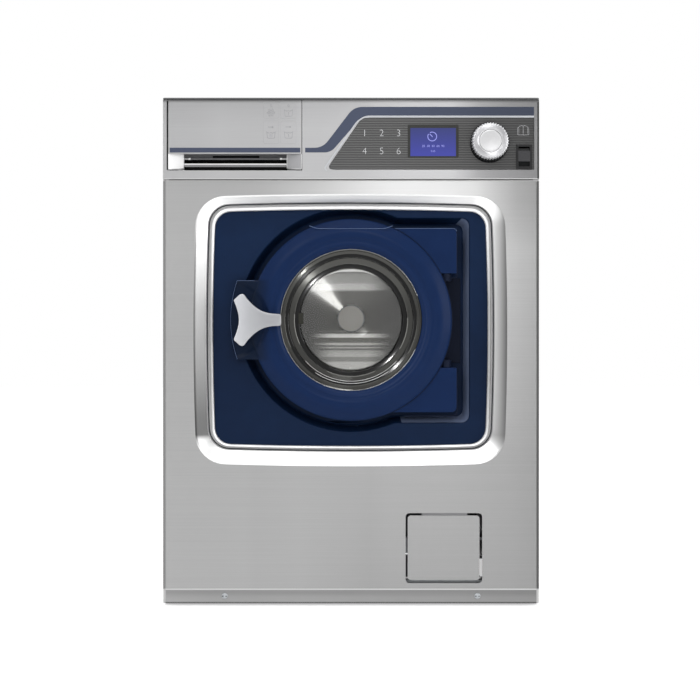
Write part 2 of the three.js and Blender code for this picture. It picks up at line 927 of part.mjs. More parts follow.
// Detergent drawer

function drawerFront() {
  const { left, right, bottom, top, front, cheekBottom, cheekIn, cheekDeep, cheekWall } = drawer;
  const face = fascia.face;
  const back = face + front;
  const [deep, roof] = [face + cheekDeep, bottom + cheekWall];
  const wing = (edge, side) => column(polygon([
    [edge, face + cheekWall / 2], [edge + side * cheekIn, deep],
    [edge + side * cheekIn, deep + cheekWall], [edge, back + cheekWall],
  ]), cheekBottom, roof - gap);
  const between = (inset) => polygon([
    [tray.left + inset, face], [tray.left + cheekIn + inset, deep + cheekWall / 2],
    [tray.right - cheekIn - inset, deep + cheekWall / 2], [tray.right - inset, face],
  ]);
  const bars = join(
    block(left, right, drawer.barFront, drawer.barBack, drawer.barLow, drawer.barHigh),
    block(left, right, drawer.railFront, drawer.railBack, drawer.railLow, drawer.railHigh),
  );
  return join(
    block(left, right, face, back, bottom, top),
    column(between(gap), bottom, roof),
    wing(tray.left, 1),
    wing(tray.right, -1),
    common(bars, column(between(0), cheekBottom, bottom)),
  );
}

function drawerTray() {
  const { left, right, bottom, top, back, wall, divider, split } = tray;
  const front = fascia.face + drawer.front + gap;
  const start = front + drawer.cheekDeep + drawer.cheekWall + gap;
  const deep = back - start;
  const wide = right - left - 2 * wall;
  const [across, along] = [left + wall + wide * divider, start + deep * split];
  const pocket = (x0, x1, y0, y1) => block(x0, x1, y0, y1, bottom + wall, top + overrun);
  return cut(
    join(
      block(left, right, start, back, bottom, top),
      block(left, right, front, start + overrun, bottom, top - wall),
    ),
    pocket(left + wall, across - wall / 2, start + wall, back - wall),
    pocket(across + wall / 2, right - wall, start + wall, along - wall / 2),
    pocket(across + wall / 2, right - wall, along + wall / 2, back - wall),
    block(left + wall, right - wall, front - overrun, start, bottom - overrun, top - 2 * wall),
  );
}

function dispenserHousing() {
  const { wall, front, back, bottom, floor, step, top } = housing;
  const [x0, x1] = [tray.left - slack, tray.right + slack];
  const outer = join(
    block(x0 - wall, x1 + wall, front, back, floor, top),
    block(x0 - wall, x1 + wall, front, step, bottom, floor + wall),
  );
  const inner = join(
    block(x0, x1, front - overrun, back - wall, floor + wall, top - wall),
    block(x0, x1, front - overrun, step - wall, bottom + wall, floor + 2 * wall),
  );
  const runners = [x0, x1 - 3 * wall].map((x) =>
    block(x, x + 3 * wall, step, back - wall / 2, floor + wall / 2, tray.bottom - gap),
  );
  return cut(
    join(
      cut(outer, inner), ...runners,
      rodZ(spout.radius, floor - spout.drop, floor + wall / 2, spout.x, spout.y),
    ),
    rodZ(spout.bore, floor - spout.drop - overrun, floor + wall + overrun, spout.x, spout.y),
  );
}

// A short folded rubber sleeve between the spout and the tub's neck
function dispenserHose() {
  const { outer, wall, fold, folds, neckTop } = hose;
  const [low, high] = [neckTop + gap, housing.floor - spout.drop - gap];
  const outside = [];
  const inside = [];
  for (let i = 0; i <= 2 * folds; i += 1) {
    const y = low + ((high - low) * i) / (2 * folds);
    const out = i % 2 ? fold : 0;
    outside.push([outer + out - fold, -y]);
    inside.unshift([outer + out - fold - wall, -y]);
  }
  return turned([...outside, ...inside], small).rotate([-90, 0, 0]).translate([spout.x, spout.y, 0]);
}

// Door, built round its own centre

function ringDome() {
  const { outer, inner, crest, crestIn, crestOut, edge, back, lip } = doorRing;
  return turned([
    [inner, back], [inner, lip], [inner + (crestIn - inner) / 2, crest + (lip - crest) / 3], [crestIn, crest],
    [(crestIn + crestOut) / 2, crest - (crestOut - crestIn) / 40], [crestOut, crest],
    [crestOut + (outer - crestOut) * 0.55, crest + (edge - crest) * 0.35], [outer, edge], [outer, back],
  ], fine);
}

function sector(inner, outer, halfHeight, y0, y1) {
  const from = Math.PI - Math.asin(halfHeight / outer);
  const to = Math.PI + Math.asin(halfHeight / outer);
  const shape = new THREE.Shape();
  shape.absarc(0, 0, outer, from, to);
  const innerAngle = Math.asin(halfHeight / inner);
  shape.absarc(0, 0, inner, Math.PI + innerAngle, Math.PI - innerAngle, true);
  const geometry = new THREE.ExtrudeGeometry(shape, {
    depth: y1 - y0, bevelEnabled: false, curveSegments: small,
  });
  geometry.rotateX(Math.PI / 2);
  geometry.translate(0, y1, 0);
  return solidOf(geometry);
}

function ringBody() {
  const { ledge, ledgeDeep, crest, outer } = doorRing;
  const grip = sector(tab.start, tab.outer, tab.half, tab.front, tab.back);
  const hollow = rodY(scoop.radius, crest - 2 * overrun, scoop.floor, scoop.middle, 0, fine);
  const cheek = block(-outer, outer, crest - 2 * overrun, crest + ledgeDeep, ledge, outer + overrun);
  const pocket = block(
    handle.pivotX - handle.pocketSide, handle.pivotX + handle.pocketSide,
    crest - 2 * overrun, handle.pivotY + handle.boss + slack, -handle.bossHalf - gap, handle.bossHalf + gap,
  );
  const bore = rodZ(
    handle.pin + gap, -handle.pinHalf - gap, handle.pinHalf + gap, handle.pivotX, handle.pivotY, small,
  );
  const ears = [-1, 1].map((side) => {
    const [near, far] = [side * (hook.half + gap), side * (hook.half + gap + hook.ear)];
    return block(
      hook.x - hook.earHalf, hook.x + hook.earHalf, tab.back - gap, hook.earBack,
      Math.min(near, far), Math.max(near, far),
    );
  });
  const hookBore = rodZ(
    hook.pin + gap, -hook.half - hook.ear - overrun, hook.half + hook.ear + overrun, hook.x, hook.y, 12,
  );
  return join(cut(ringDome(), hollow, cheek, pocket, bore), grip, ...ears.map((ear) => cut(ear, hookBore)));
}

function trimRing() {
  const { inner, outer, front, back, shoulder } = windowTrim;
  return turned([
    [inner, back], [inner, front + shoulder], [inner + shoulder, front + shoulder / 3],
    [(inner + outer) / 2, front], [outer - shoulder / 2, front + shoulder / 3],
    [outer, front + shoulder], [outer, back],
  ], fine);
}

function glassBowl() {
  const { flange, front, thick, wallTop, wallEnd, deep, sag } = glass;
  return turned([
    [0, deep + sag], [wallEnd * 0.6, deep + sag * 0.6], [wallEnd, deep], [wallTop, front + thick],
    [flange, front + thick], [flange, front], [wallTop - thick, front],
    [wallEnd - thick, deep - thick], [wallEnd * 0.6, deep - thick + sag * 0.6], [0, deep - thick + sag],
  ], fine);
}

function innerFrame() {
  const { outer, inner, seat, back } = doorFrame;
  const seatBack = glass.front + glass.thick + gap;
  const start = doorRing.back + gap;
  const ring = turned([
    [inner, back], [inner, seatBack], [seat, seatBack], [seat, start], [outer, start], [outer, back],
  ], fine);
  const arm = (low, high) => {
    const outline = roundedShape(hingeArm.left, hingeArm.right, low - axisZ, high - axisZ, hingeArm.corner);
    const squareIn = polygon([
      [hingeArm.left, low - axisZ], [hingeArm.right - hingeArm.corner, low - axisZ],
      [hingeArm.right - hingeArm.corner, high - axisZ], [hingeArm.left, high - axisZ],
    ]);
    const inner = low > axisZ ? low : high - hingeArm.corner;
    const squareEnd = polygon([
      [hingeArm.left, inner - axisZ], [hingeArm.right, inner - axisZ],
      [hingeArm.right, inner + hingeArm.corner - axisZ], [hingeArm.left, inner + hingeArm.corner - axisZ],
    ]);
    return join(...[outline, squareIn, squareEnd].map((shape) => plate(shape, start, hingeArm.back)));
  };
  const bore = (from, to) => rodZ(pivot.pin + gap, from - axisZ, to - axisZ, pivot.x, pivot.y);
  const deep = pivot.pinRise + 2 * gap;
  return join(
    ring,
    cut(
      join(arm(hingeArm.upperLow, hingeArm.upperHigh), arm(hingeArm.lowerLow, hingeArm.lowerHigh)),
      rodY(hingeArm.clear, start - overrun, hingeArm.back + overrun, 0, 0, fine),
      bore(hingeArm.upperLow - overrun, hingeArm.upperLow + deep),
      bore(hingeArm.lowerHigh - deep, hingeArm.lowerHigh + overrun),
    ),
  );
}

// Half of the handle's outline runs from the stem's end to the tip; the other half mirrors it
function handleOutline() {
  const h = handle;
  const shape = new THREE.Shape();
  shape.moveTo(h.stemEnd, -h.stemHalf + h.stemRound);
  shape.lineTo(h.stemEnd, h.stemHalf - h.stemRound);
  shape.quadraticCurveTo(h.stemEnd, h.stemHalf, h.stemEnd - h.stemRound, h.stemHalf);
  shape.quadraticCurveTo(h.waist + 2 * h.stemRound, h.stemHalf, h.waist, h.waistHalf);
  shape.quadraticCurveTo(h.flank + h.stemRound, h.waistHalf + h.stemRound, h.flank, h.flankHalf);
  shape.lineTo(h.shoulder, h.shoulderHalf);
  shape.quadraticCurveTo(h.tip + h.stemRound, h.tipHalf, h.tip - h.stemRound, h.tipHalf);
  shape.quadraticCurveTo(h.tipOuter, h.tipOuterHalf + h.stemRound, h.tipOuter, h.tipOuterHalf);
  shape.quadraticCurveTo(h.hollow, h.hollowHalf, h.palm, 0);
  shape.quadraticCurveTo(h.hollow, -h.hollowHalf, h.tipOuter, -h.tipOuterHalf);
  shape.quadraticCurveTo(h.tipOuter, -h.tipOuterHalf - h.stemRound, h.tip - h.stemRound, -h.tipHalf);
  shape.quadraticCurveTo(h.tip + h.stemRound, -h.tipHalf, h.shoulder, -h.shoulderHalf);
  shape.lineTo(h.flank, -h.flankHalf);
  shape.quadraticCurveTo(h.flank + h.stemRound, -h.waistHalf - h.stemRound, h.waist, -h.waistHalf);
  shape.quadraticCurveTo(h.waist + 2 * h.stemRound, -h.stemHalf, h.stemEnd - h.stemRound, -h.stemHalf);
  shape.quadraticCurveTo(h.stemEnd, -h.stemHalf, h.stemEnd, -h.stemHalf + h.stemRound);
  return shape;
}

function doorHandle() {
  const { front, thick, pivotX, pivotY, boss, bossHalf, pin, pinHalf } = handle;
  return join(
    plate(handleOutline(), front, front + thick),
    rodZ(boss, -bossHalf, bossHalf, pivotX, pivotY),
    block(pivotX - boss, pivotX + boss, front + thick / 2, pivotY, -bossHalf, bossHalf),
    rodZ(pin, -pinHalf, pinHalf, pivotX, pivotY, 12),
  );
}

function latchHook() {
  const { x, y, half: tall, arm, reach, barb, barbThick, pin, ear } = hook;
  return join(
    rodZ(arm, -tall, tall, x, y),
    block(x - arm, x + arm, y, reach, -tall, tall),
    block(x - arm - barb, x, reach - barbThick, reach, -tall, tall),
    rodZ(pin, -tall - ear, tall + ear, x, y, 12),
  );
}

// Service hatch and drain pump

function serviceHatch() {
  const { leafLeft, leafRight, leafBottom, leafTop, leafCorner, thick, fold, pivotY, pivotRise, pin } = hatch;
  const leaf = (inset, y0, y1) => plate(
    roundedShape(
      leafLeft + inset, leafRight - inset, leafBottom + inset, leafTop - inset, leafCorner - inset,
    ), y0, y1,
  );
  const pivotZ = leafBottom + pivotRise;
  const [pinLeft, pinRight] = hatchPins();
  return join(
    cut(leaf(0, 0, fold), leaf(thick, thick, fold + overrun)),
    rodX(pivotRise, leafLeft, leafRight, pivotY, pivotZ, 12),
    rodX(pin, pinLeft - hatch.ear + gap, pinRight + hatch.ear - gap, pivotY, pivotZ, 12),
  );
}

function drainPump() {
  const { x, z, radius, front, back, motor: motorRadius, motorBack, foot: footHalf } = pump;
  const mouth = cap.stub + slack;
  const pot = turned([
    [mouth, front], [radius, front], [radius, back], [motorRadius, back], [motorRadius, motorBack],
    [0, motorBack], [0, front + cap.stubDeep + cap.wall], [mouth, front + cap.stubDeep + cap.wall],
  ], round).translate([x, 0, z]);
  const feet = [front + footHalf, motorBack - footHalf].map((y) =>
    block(x - footHalf, x + footHalf, y - footHalf, y + footHalf, frame.top + gap, z - radius + overrun),
  );
  const footCut = rodY(radius - overrun, 0, back, x, z, round);
  const end = cabinet.depth + valve.reach;
  const pipe = join(
    rodX(drain.radius, x, drainX + drain.radius, drain.elbow, drain.z),
    rodY(drain.radius, drain.elbow, end, drainX, drain.z),
  );
  return cut(
    join(pot, ...feet.map((block) => cut(block, footCut)), pipe),
    rodY(drain.bore, end - drain.socket, end + overrun, drainX, drain.z),
  );
}

// Built round its own axis
function filterCap() {
  const { radius, front, thick, grip, gripThick, stub, stubDeep } = cap;
  const back = pump.front - gap;
  return join(
    rodY(radius, back - thick, back, 0, 0, round),
    rodY(stub, back - gap, pump.front + stubDeep - gap, 0, 0, round),
    block(
      -radius * 0.8, radius * 0.8, front - grip + thick, back - thick + gap, -gripThick / 2, gripThick / 2,
    ),
  );
}

// Tub, built round the drum's axis

function outerTub() {
  const { outer, wall, front, flange, flangeThick, back, boss, bossBack } = tub;
  const shell = turned([
    [outer - wall, front], [flange, front], [flange, front + flangeThick], [outer, front + flangeThick],
    [outer, back], [boss, back], [boss, bossBack], [bearing.outer + gap, bossBack],
    [bearing.outer + gap, bearing.front - gap], [spider.shaft + 2 * gap, bearing.front - gap],
    [spider.shaft + 2 * gap, back - wall], [outer - wall, back - wall],
  ], fine);
  const core = rodY(outer - wall / 2, front - overrun, bossBack + overrun, 0, 0, fine);
  const keep = (solid) => cut(solid, core);
  const ear = block(
    outer * 0.88, springX + springPlate.half, strut.y - springPlate.half, strut.y + springPlate.half,
    spring.earRise, spring.earRise + spring.ear,
  );
  const lug = block(
    outer * 0.7, strutX + strut.lug / 2, strut.y - strut.lug / 2, strut.y + strut.lug / 2,
    -strut.lugDrop, -strut.lugDrop + strut.lugRise,
  );
  const hangerTop = -Math.sqrt(outer ** 2 - motor.x ** 2) + 2 * wall;
  const motorHanger = [motor.front, motor.back - motor.lug].map((y) => block(
    motor.x - motor.lug / 2, motor.x + motor.lug / 2, y, y + motor.lug,
    -motor.drop + motor.radius + motor.lugHeight + gap, hangerTop,
  ));
  const neck = rodZ(hose.outer, outer * 0.8, hose.neckTop - axisZ, spout.x, spout.y);
  return cut(
    join(
      shell, keep(ear), keep(mirrored(ear)), keep(lug), keep(mirrored(lug)), ...motorHanger.map(keep),
      keep(neck),
    ),
    rodZ(hose.outer - hose.wall - hose.fold, outer * 0.75, hose.neckTop - axisZ + overrun, spout.x, spout.y),
  );
}

function frontCover() {
  const { front, neck, neckWall, neckFront } = cover;
  const back = tub.front - gap;
  return turned([
    [neck - neckWall, neckFront], [neck, neckFront], [neck, front], [tub.flange, front], [tub.flange, back],
    [neck - neckWall, back],
  ], fine);
}

// A curved casting bolted under the tub's mouth
function counterweight() {
  const { front, inner, outer, sweep } = weight;
  const spread = THREE.MathUtils.degToRad(sweep / 2);
  const shape = new THREE.Shape();
  shape.absarc(0, 0, outer, -Math.PI / 2 - spread, -Math.PI / 2 + spread);
  shape.absarc(0, 0, inner, -Math.PI / 2 + spread, -Math.PI / 2 - spread, true);
  const geometry = new THREE.ExtrudeGeometry(shape, {
    depth: cover.front - gap - front, bevelEnabled: false, curveSegments: small,
  });
  geometry.rotateX(Math.PI / 2);
  geometry.translate(0, cover.front - gap, 0);
  return solidOf(geometry);
}

// A folded rubber sleeve from the recess panel's mouth to the tub's neck
function doorGasket() {
  const { lip, wall, seat } = gasket;
  const mouth = recess.mouth - gap;
  const neck = cover.neck - cover.neckWall - gap;
  const front = recessFloor - seat;
  const reach = cover.neckFront - recessBack;
  return turned([
    [mouth, front], [mouth, recessBack + wall], [neck, cover.neckFront - wall], [neck, cover.front],
    [neck - wall, cover.front], [neck - 2 * wall, cover.neckFront + wall],
    [lip, recessBack + reach * 0.6], [lip, recessBack + reach * 0.6 - wall],
    [mouth - wall, recessBack + wall], [mouth - wall, front],
  ], fine);
}

function drumBearing() {
  const { outer, inner, front, back } = bearing;
  return turned([[inner, front], [outer, front], [outer, back], [inner, back]], round);
}

function drumShell() {
  const { radius, wall, front, back, mouth, roll, hole } = drum;
  const shell = turned([
    [mouth, front - roll], [mouth + wall, front - roll], [mouth + wall + roll, front], [radius, front],
    [radius, back], [hole, back], [hole, back - wall], [radius - wall, back - wall],
    [radius - wall, front + wall], [mouth + roll, front + wall], [mouth, front - roll + wall],
  ], fine);
  const { base, crest, height, wall: thick, margin } = lifter;
  const foot = -radius + wall / 2;
  const trapezoid = (inset) => polygon([
    [-base / 2 + inset, foot - (inset ? overrun : 0)], [base / 2 - inset, foot - (inset ? overrun : 0)],
    [crest / 2 - inset / 2, foot + height - inset], [-crest / 2 + inset / 2, foot + height - inset],
  ]);
  const vane = common(
    cut(
      plate(trapezoid(0), front + margin, back - margin),
      plate(trapezoid(thick), front + margin - overrun, back - margin + overrun),
    ),
    rodY(radius - wall / 2, front, back, 0, 0, fine),
  );
  const third = 360 / lifter.count;
  const vanes = Array.from({ length: lifter.count }, (_, at) => vane.rotate([0, at * third, 0]));
  return join(shell, ...vanes);
}

function drumSpider() {
  const { arm, thick, hub, shaft, end, disc, discFront, reach } = spider;
  const front = drum.back + gap;
  const armBody = block(-arm / 2, arm / 2, front, front + thick, 0, reach);
  const third = 360 / lifter.count;
  const arms = Array.from({ length: lifter.count }, (_, at) => armBody.rotate([0, (at + 0.5) * third, 0]));
  return join(
    rodY(hub, front, front + thick, 0, 0, round), rodY(shaft, front, end, 0, 0, round),
    rodY(disc, discFront, front + gap, 0, 0, round), ...arms,
  );
}

function drumPulley() {
  const { radius, front, width, rim, web, hub, lip } = pulley;
  const back = front + width;
  const middle = (front + back) / 2;
  const bore = spider.shaft + gap;
  return turned([
    [bore, front], [hub, front], [hub, middle - web / 2], [radius - rim, middle - web / 2],
    [radius - rim, front], [radius, front], [radius, back], [radius - rim, back],
    [radius - rim, middle + web / 2], [hub, middle + web / 2], [hub, back + lip], [bore, back + lip],
  ], round);
}

function motorBody() {
  const { x, drop, radius, front, back, lug, lugHeight, lugLength } = motor;
  const middle = (front + back) / 2;
  return cut(
    join(
      rodY(radius, front, back, x, -drop, round),
      block(
        x - lug / 2, x + lug / 2, middle - lugLength / 2, middle + lugLength / 2,
        -drop + radius * 0.8, -drop + radius + lugHeight,
      ),
    ),
    rodY(rotor.shaft + gap, back - rotor.socket, back + overrun, x, -drop),
  );
}

// Built round its own axis
function motorRotor() {
  const { shaft, socket, pulley: wheel, flange, flangeThick } = rotor;
  const [front, back] = [pulley.front, pulley.front + pulley.width];
  return join(
    rodY(shaft, motor.back - socket + gap, back, 0, 0),
    rodY(wheel, front, back, 0, 0, round),
    rodY(flange, front - flangeThick, front + gap, 0, 0, round),
    rodY(flange, back - gap, back + flangeThick, 0, 0, round),
  );
}

// The belt's loop round both pulleys, drawn outwards by grow
function beltLoop(grow) {
  const [big, little] = [pulley.radius + 2 * gap + grow, rotor.pulley + 2 * gap + grow];
  const [x, z] = [motor.x, -motor.drop];
  const heading = Math.atan2(z, x);
  const spread = Math.acos((big - little) / Math.hypot(x, z));
  const arc = (middleX, middleZ, radius, from, to, steps) => Array.from({ length: steps + 1 }, (_, at) => {
    const angle = from + ((to - from) * at) / steps;
    return [middleX + radius * Math.cos(angle), middleZ + radius * Math.sin(angle)];
  });
  return polygon([
    ...arc(0, 0, big, heading + spread, heading - spread + Math.PI * 2, fine),
    ...arc(x, z, little, heading - spread, heading + spread, small),
  ]);
}

function driveBelt() {
  const middle = pulley.front + pulley.width / 2;
  const [front, back] = [middle - belt.width / 2, middle + belt.width / 2];
  return cut(plate(beltLoop(belt.thick), front, back), plate(beltLoop(0), front - overrun, back + overrun));
}

// Suspension

class Coil extends THREE.Curve {
  constructor(radius, low, high, turns) {
    super();
    Object.assign(this, { radius, low, high, turns });
  }

  getPoint(t, target = new THREE.Vector3()) {
    const angle = t * this.turns * Math.PI * 2;
    const z = this.low + (this.high - this.low) * t;
    return target.set(this.radius * Math.cos(angle), this.radius * Math.sin(angle), z);
  }
}

// Built at its own place, from the tub's ear up to the hanger
function suspensionSpring() {
  const { radius, wire, coils, stub, ear, earRise } = spring;
  const low = axisZ + earRise + ear + gap;
  const high = hangerZ - gap;
  const steps = 6;
  const section = new THREE.Shape();
  section.absarc(0, 0, wire, 0, Math.PI * 2);
  const path = new Coil(radius, low + stub, high - stub, coils);
  const geometry = new THREE.ExtrudeGeometry(section, {
    steps: coils * steps, extrudePath: path, curveSegments: 3,
  });
  const end = (z0, z1) => join(
    rodZ(wire, z0, z1, 0, 0, 8),
    block(-wire, radius, -wire, wire, (z0 < low + stub ? z1 : z0) - wire, (z0 < low + stub ? z1 : z0) + wire),
  );
  return join(solidOf(geometry), end(low, low + stub), end(high - stub, high));
}

// Built at its own place: a cylinder on the base frame and a rod up to the tub's lug
function suspensionDamper() {
  const { cylinder, rod, split, eye, lugDrop } = strut;
  const low = frame.top + gap;
  const high = axisZ - lugDrop - gap;
  const middle = low + (high - low) * split;
  return join(
    rodZ(cylinder, low + eye, middle), rodZ(eye, low, low + eye + gap), rodZ(rod, middle - gap, high - eye),
    rodZ(eye, high - eye - gap, high),
  );
}

// Rear fittings

function inletValve() {
  const { nozzle, bore, reach, deep, half: tall, side } = valve;
  const back = cabinet.depth - cabinet.sheet - gap;
  const end = cabinet.depth + reach;
  return cut(
    join(
      block(
        valveX[0] - side, valveX[1] + side, cabinet.depth - deep, back, valveZ - tall, valveZ + tall,
      ),
      ...valveX.map((x) => rodY(nozzle, back - gap, end, x, valveZ)),
    ),
    ...valveX.map((x) => rodY(bore, back, end + overrun, x, valveZ)),
  );
}

function mainsGland() {
  const { radius, bore, reach, nut, nutThick } = gland;
  const [x, z] = [glandX, glandZ];
  const { depth, sheet } = cabinet;
  return cut(
    join(
      rodY(nut, depth + gap, depth + nutThick, x, z, 6),
      rodY(radius, depth - sheet - gap - nutThick, depth + reach, x, z),
      rodY(nut, depth - sheet - gap - nutThick, depth - sheet - gap, x, z, 6),
    ),
    rodY(bore, depth - nutThick - overrun, depth + reach + overrun, x, z),
    rodY(bore, depth - sheet - nutThick - 2 * overrun, depth, x, z),
  );
}

// Materials

function finish(color, roughness, metalness) {
  return { color, roughness, metalness };
}

const finishes = {
  stainless: finish(0xb1b1b1, 0.4, 0.9),
  polished: finish(0xdadada, 0.15, 1),
  zinc: finish(0x9a9da0, 0.45, 0.8),
  darkLid: finish(0x58595a, 0.5, 0.4),
  silver: finish(0xc6c6c8, 0.4, 0.3),
  charcoal: finish(0x565656, 0.6, 0),
  black: finish(0x161616, 0.5, 0),
  screen: finish(0x4c4cba, 0.2, 0),
  navy: finish(0x27365a, 0.45, 0),
  handle: finish(0xb4b3bb, 0.4, 0.2),
  pearl: finish(0xe6e6e8, 0.35, 0.1),
  white: finish(0xdfe0e2, 0.5, 0),
  rubber: finish(0x4a4b4c, 0.9, 0),
  glass: finish(0xe8eef0, 0.05, 0),
  castIron: finish(0x3a3b3d, 0.8, 0.3),
  motor: finish(0x6d7074, 0.5, 0.6),
};

function piece(name, made, material) {
  const mesh = made.getMesh();
  const geometry = new THREE.BufferGeometry();
  geometry.setAttribute("position", new THREE.Float32BufferAttribute(mesh.vertProperties, 3));
  geometry.setIndex(new THREE.BufferAttribute(mesh.triVerts, 1));
  const node = new THREE.Mesh(geometry, new THREE.MeshStandardMaterial(finishes[material]));
  node.name = name;
  return node;
}

function placed(node, x, y, z) {
  node.position.set(x, y, z);
  return node;
}

// Assembly

const machine = new THREE.Group();
machine.position.y = -cabinet.depth / 2; // y counts from the front face inside

machine.add(
  piece("base_frame", baseFrame(), "zinc"),
  piece("left_side_panel", mirrored(sidePanel()), "stainless"),
  piece("right_side_panel", sidePanel(), "stainless"),
  piece("rear_panel", rearPanel(), "zinc"),
  piece("top_panel", topPanel(), "darkLid"),
  piece("front_panel", frontPanel(), "stainless"),
  piece("plinth_strip", plinthStrip(), "stainless"),
  placed(piece("plinth_screw_left", plinthScrew(), "polished"), -plinth.screwX, 0, plinth.screwZ),
  placed(piece("plinth_screw_right", plinthScrew(), "polished"), plinth.screwX, 0, plinth.screwZ),
  piece("door_surround", doorSurround(), "polished"),
  piece("recess_panel", recessPanel(), "navy"),
  piece("hinge_bracket", hingeBracket(), "navy"),
  piece("door_lock", doorLock(), "black"),
  piece("fascia", fasciaPanel(), "silver"),
  piece("fascia_inlay", fasciaInlay(), "charcoal"),
  piece("display_module", displayModule(), "screen"),
  piece("rocker_housing", rockerHousing(), "black"),
  piece("dispenser_housing", dispenserHousing(), "charcoal"),
  piece("dispenser_hose", dispenserHose(), "rubber"),
  piece("inlet_valve", inletValve(), "white"),
  piece("mains_gland", mainsGland(), "black"),
  piece("drain_pump", drainPump(), "white"),
);
for (const [name, x, y] of footPlaces()) {
  machine.add(placed(piece(name, levellingFoot(), "black"), x, y, 0));
}

const drawerGroup = new THREE.Group();
drawerGroup.add(piece("drawer_front", drawerFront(), "silver"), piece("drawer_tray", drawerTray(), "white"));

const controls = new THREE.Group();
controls.add(
  placed(piece("selector_knob", selectorKnob(), "pearl"), knob.x, 0, knob.z),
  placed(piece("start_button", startButton(), "pearl"), knob.x, 0, knob.z),
  placed(
    piece("power_rocker", powerRocker(), "black"),
    (rocker.left + rocker.right) / 2, rocker.pivotY, (rocker.bottom + rocker.top) / 2,
  ),
);
for (const [name, x, z] of keyPlaces()) {
  controls.add(placed(piece(name, numberKey(), "charcoal"), x, 0, z));
}

const door = new THREE.Group();
door.position.z = axisZ;
door.add(
  piece("door_ring", ringBody(), "navy"),
  piece("door_frame", innerFrame(), "navy"),
  piece("window_trim", trimRing(), "polished"),
  piece("door_glass", glassBowl(), "glass"),
  piece("door_handle", doorHandle(), "handle"),
  piece("latch_hook", latchHook(), "zinc"),
  piece("door_gasket", doorGasket(), "rubber"),
);

const service = new THREE.Group();
service.add(
  piece("service_hatch", serviceHatch(), "stainless"),
  placed(piece("filter_cap", filterCap(), "white"), pump.x, 0, pump.z),
);

const washGroup = new THREE.Group();
washGroup.position.z = axisZ;
washGroup.add(
  piece("outer_tub", outerTub(), "stainless"),
  piece("tub_front_cover", frontCover(), "stainless"),
  piece("counterweight", counterweight(), "castIron"),
  piece("drum_bearing", drumBearing(), "polished"),
  piece("drum_shell", drumShell(), "stainless"),
  piece("drum_spider", drumSpider(), "zinc"),
  piece("drum_pulley", drumPulley(), "motor"),
  piece("motor", motorBody(), "motor"),
  placed(piece("motor_rotor", motorRotor(), "zinc"), motor.x, 0, -motor.drop),
  piece("drive_belt", driveBelt(), "rubber"),
);

const suspension = new THREE.Group();
suspension.add(
  placed(piece("spring_left", suspensionSpring(), "zinc"), -springX, strut.y, 0),
  placed(piece("spring_right", suspensionSpring(), "zinc"), springX, strut.y, 0),
  placed(piece("damper_left", suspensionDamper(), "white"), -strutX, strut.y, 0),
  placed(piece("damper_right", suspensionDamper(), "white"), strutX, strut.y, 0),
);

machine.add(drawerGroup, controls, door, service, washGroup, suspension);

const root = new THREE.Group();
root.add(machine);
export default root;
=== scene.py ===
import json
import math

import bmesh
import bpy
import numpy as np
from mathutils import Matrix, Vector


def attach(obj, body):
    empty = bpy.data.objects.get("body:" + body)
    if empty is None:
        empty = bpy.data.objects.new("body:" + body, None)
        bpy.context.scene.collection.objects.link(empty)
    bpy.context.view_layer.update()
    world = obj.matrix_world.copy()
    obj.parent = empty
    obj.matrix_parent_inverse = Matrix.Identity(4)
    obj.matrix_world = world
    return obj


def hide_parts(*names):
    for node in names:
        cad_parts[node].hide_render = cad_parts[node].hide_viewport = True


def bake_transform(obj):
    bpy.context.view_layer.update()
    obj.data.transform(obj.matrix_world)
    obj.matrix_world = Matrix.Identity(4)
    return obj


# A front-loading washing machine. Sizes below are in millimetres and are turned into metres where a mesh
# is made. Local y counts from the front panel's face towards the back, z from the floor.
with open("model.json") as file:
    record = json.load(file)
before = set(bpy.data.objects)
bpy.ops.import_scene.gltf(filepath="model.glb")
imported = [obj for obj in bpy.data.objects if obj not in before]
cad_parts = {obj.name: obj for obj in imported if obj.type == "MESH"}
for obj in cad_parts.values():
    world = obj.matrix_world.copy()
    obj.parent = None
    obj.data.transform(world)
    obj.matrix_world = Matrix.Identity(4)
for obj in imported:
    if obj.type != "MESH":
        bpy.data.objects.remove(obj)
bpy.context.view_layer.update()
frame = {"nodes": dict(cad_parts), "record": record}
nodes = frame["nodes"]
bodies = frame["record"]["behaviour"]["bodies"]
bodyOfNode = {node: body for body, names in bodies.items() for node in names}

mm = 0.001
frontFace = -0.305
doorZ = 452.6
turn = 2 * math.pi

bpy.context.scene.view_settings.view_transform = "Standard"


# Meshes

def toWorld(points):
    # millimetres in the machine's own frame become metres in the row frame
    world = np.asarray(points, float) * mm
    world[..., 1] += frontFace
    return world


def gridFaces(rows, cols, wrapRows=False, wrapCols=False, start=0):
    # four corners for each cell of a grid of points, wrapping where a side closes on itself
    r = np.arange(rows if wrapRows else rows - 1)
    c = np.arange(cols if wrapCols else cols - 1)
    a = r[:, None] * cols + c[None, :]
    b = r[:, None] * cols + (c[None, :] + 1) % cols
    e = ((r[:, None] + 1) % rows) * cols + c[None, :]
    d = ((r[:, None] + 1) % rows) * cols + (c[None, :] + 1) % cols
    return np.stack([a, b, d, e], axis=-1).reshape(-1, 4) + start


def joinParts(parts):
    # several (points, faces) pairs as one
    points, faces, start = [], [], 0
    for p, f in parts:
        p = np.asarray(p, float).reshape(-1, 3)
        points.append(p)
        faces += [[int(i) + start for i in face] for face in f]
        start += len(p)
    return np.concatenate(points), faces


def readBack(items, key, kind=float, width=1):
    # one value, or a row of a few, for each item of a mesh, read as a whole array
    values = np.empty(len(items) * width, kind)
    items.foreach_get(key, values)
    return values.reshape(-1, width) if width > 1 else values


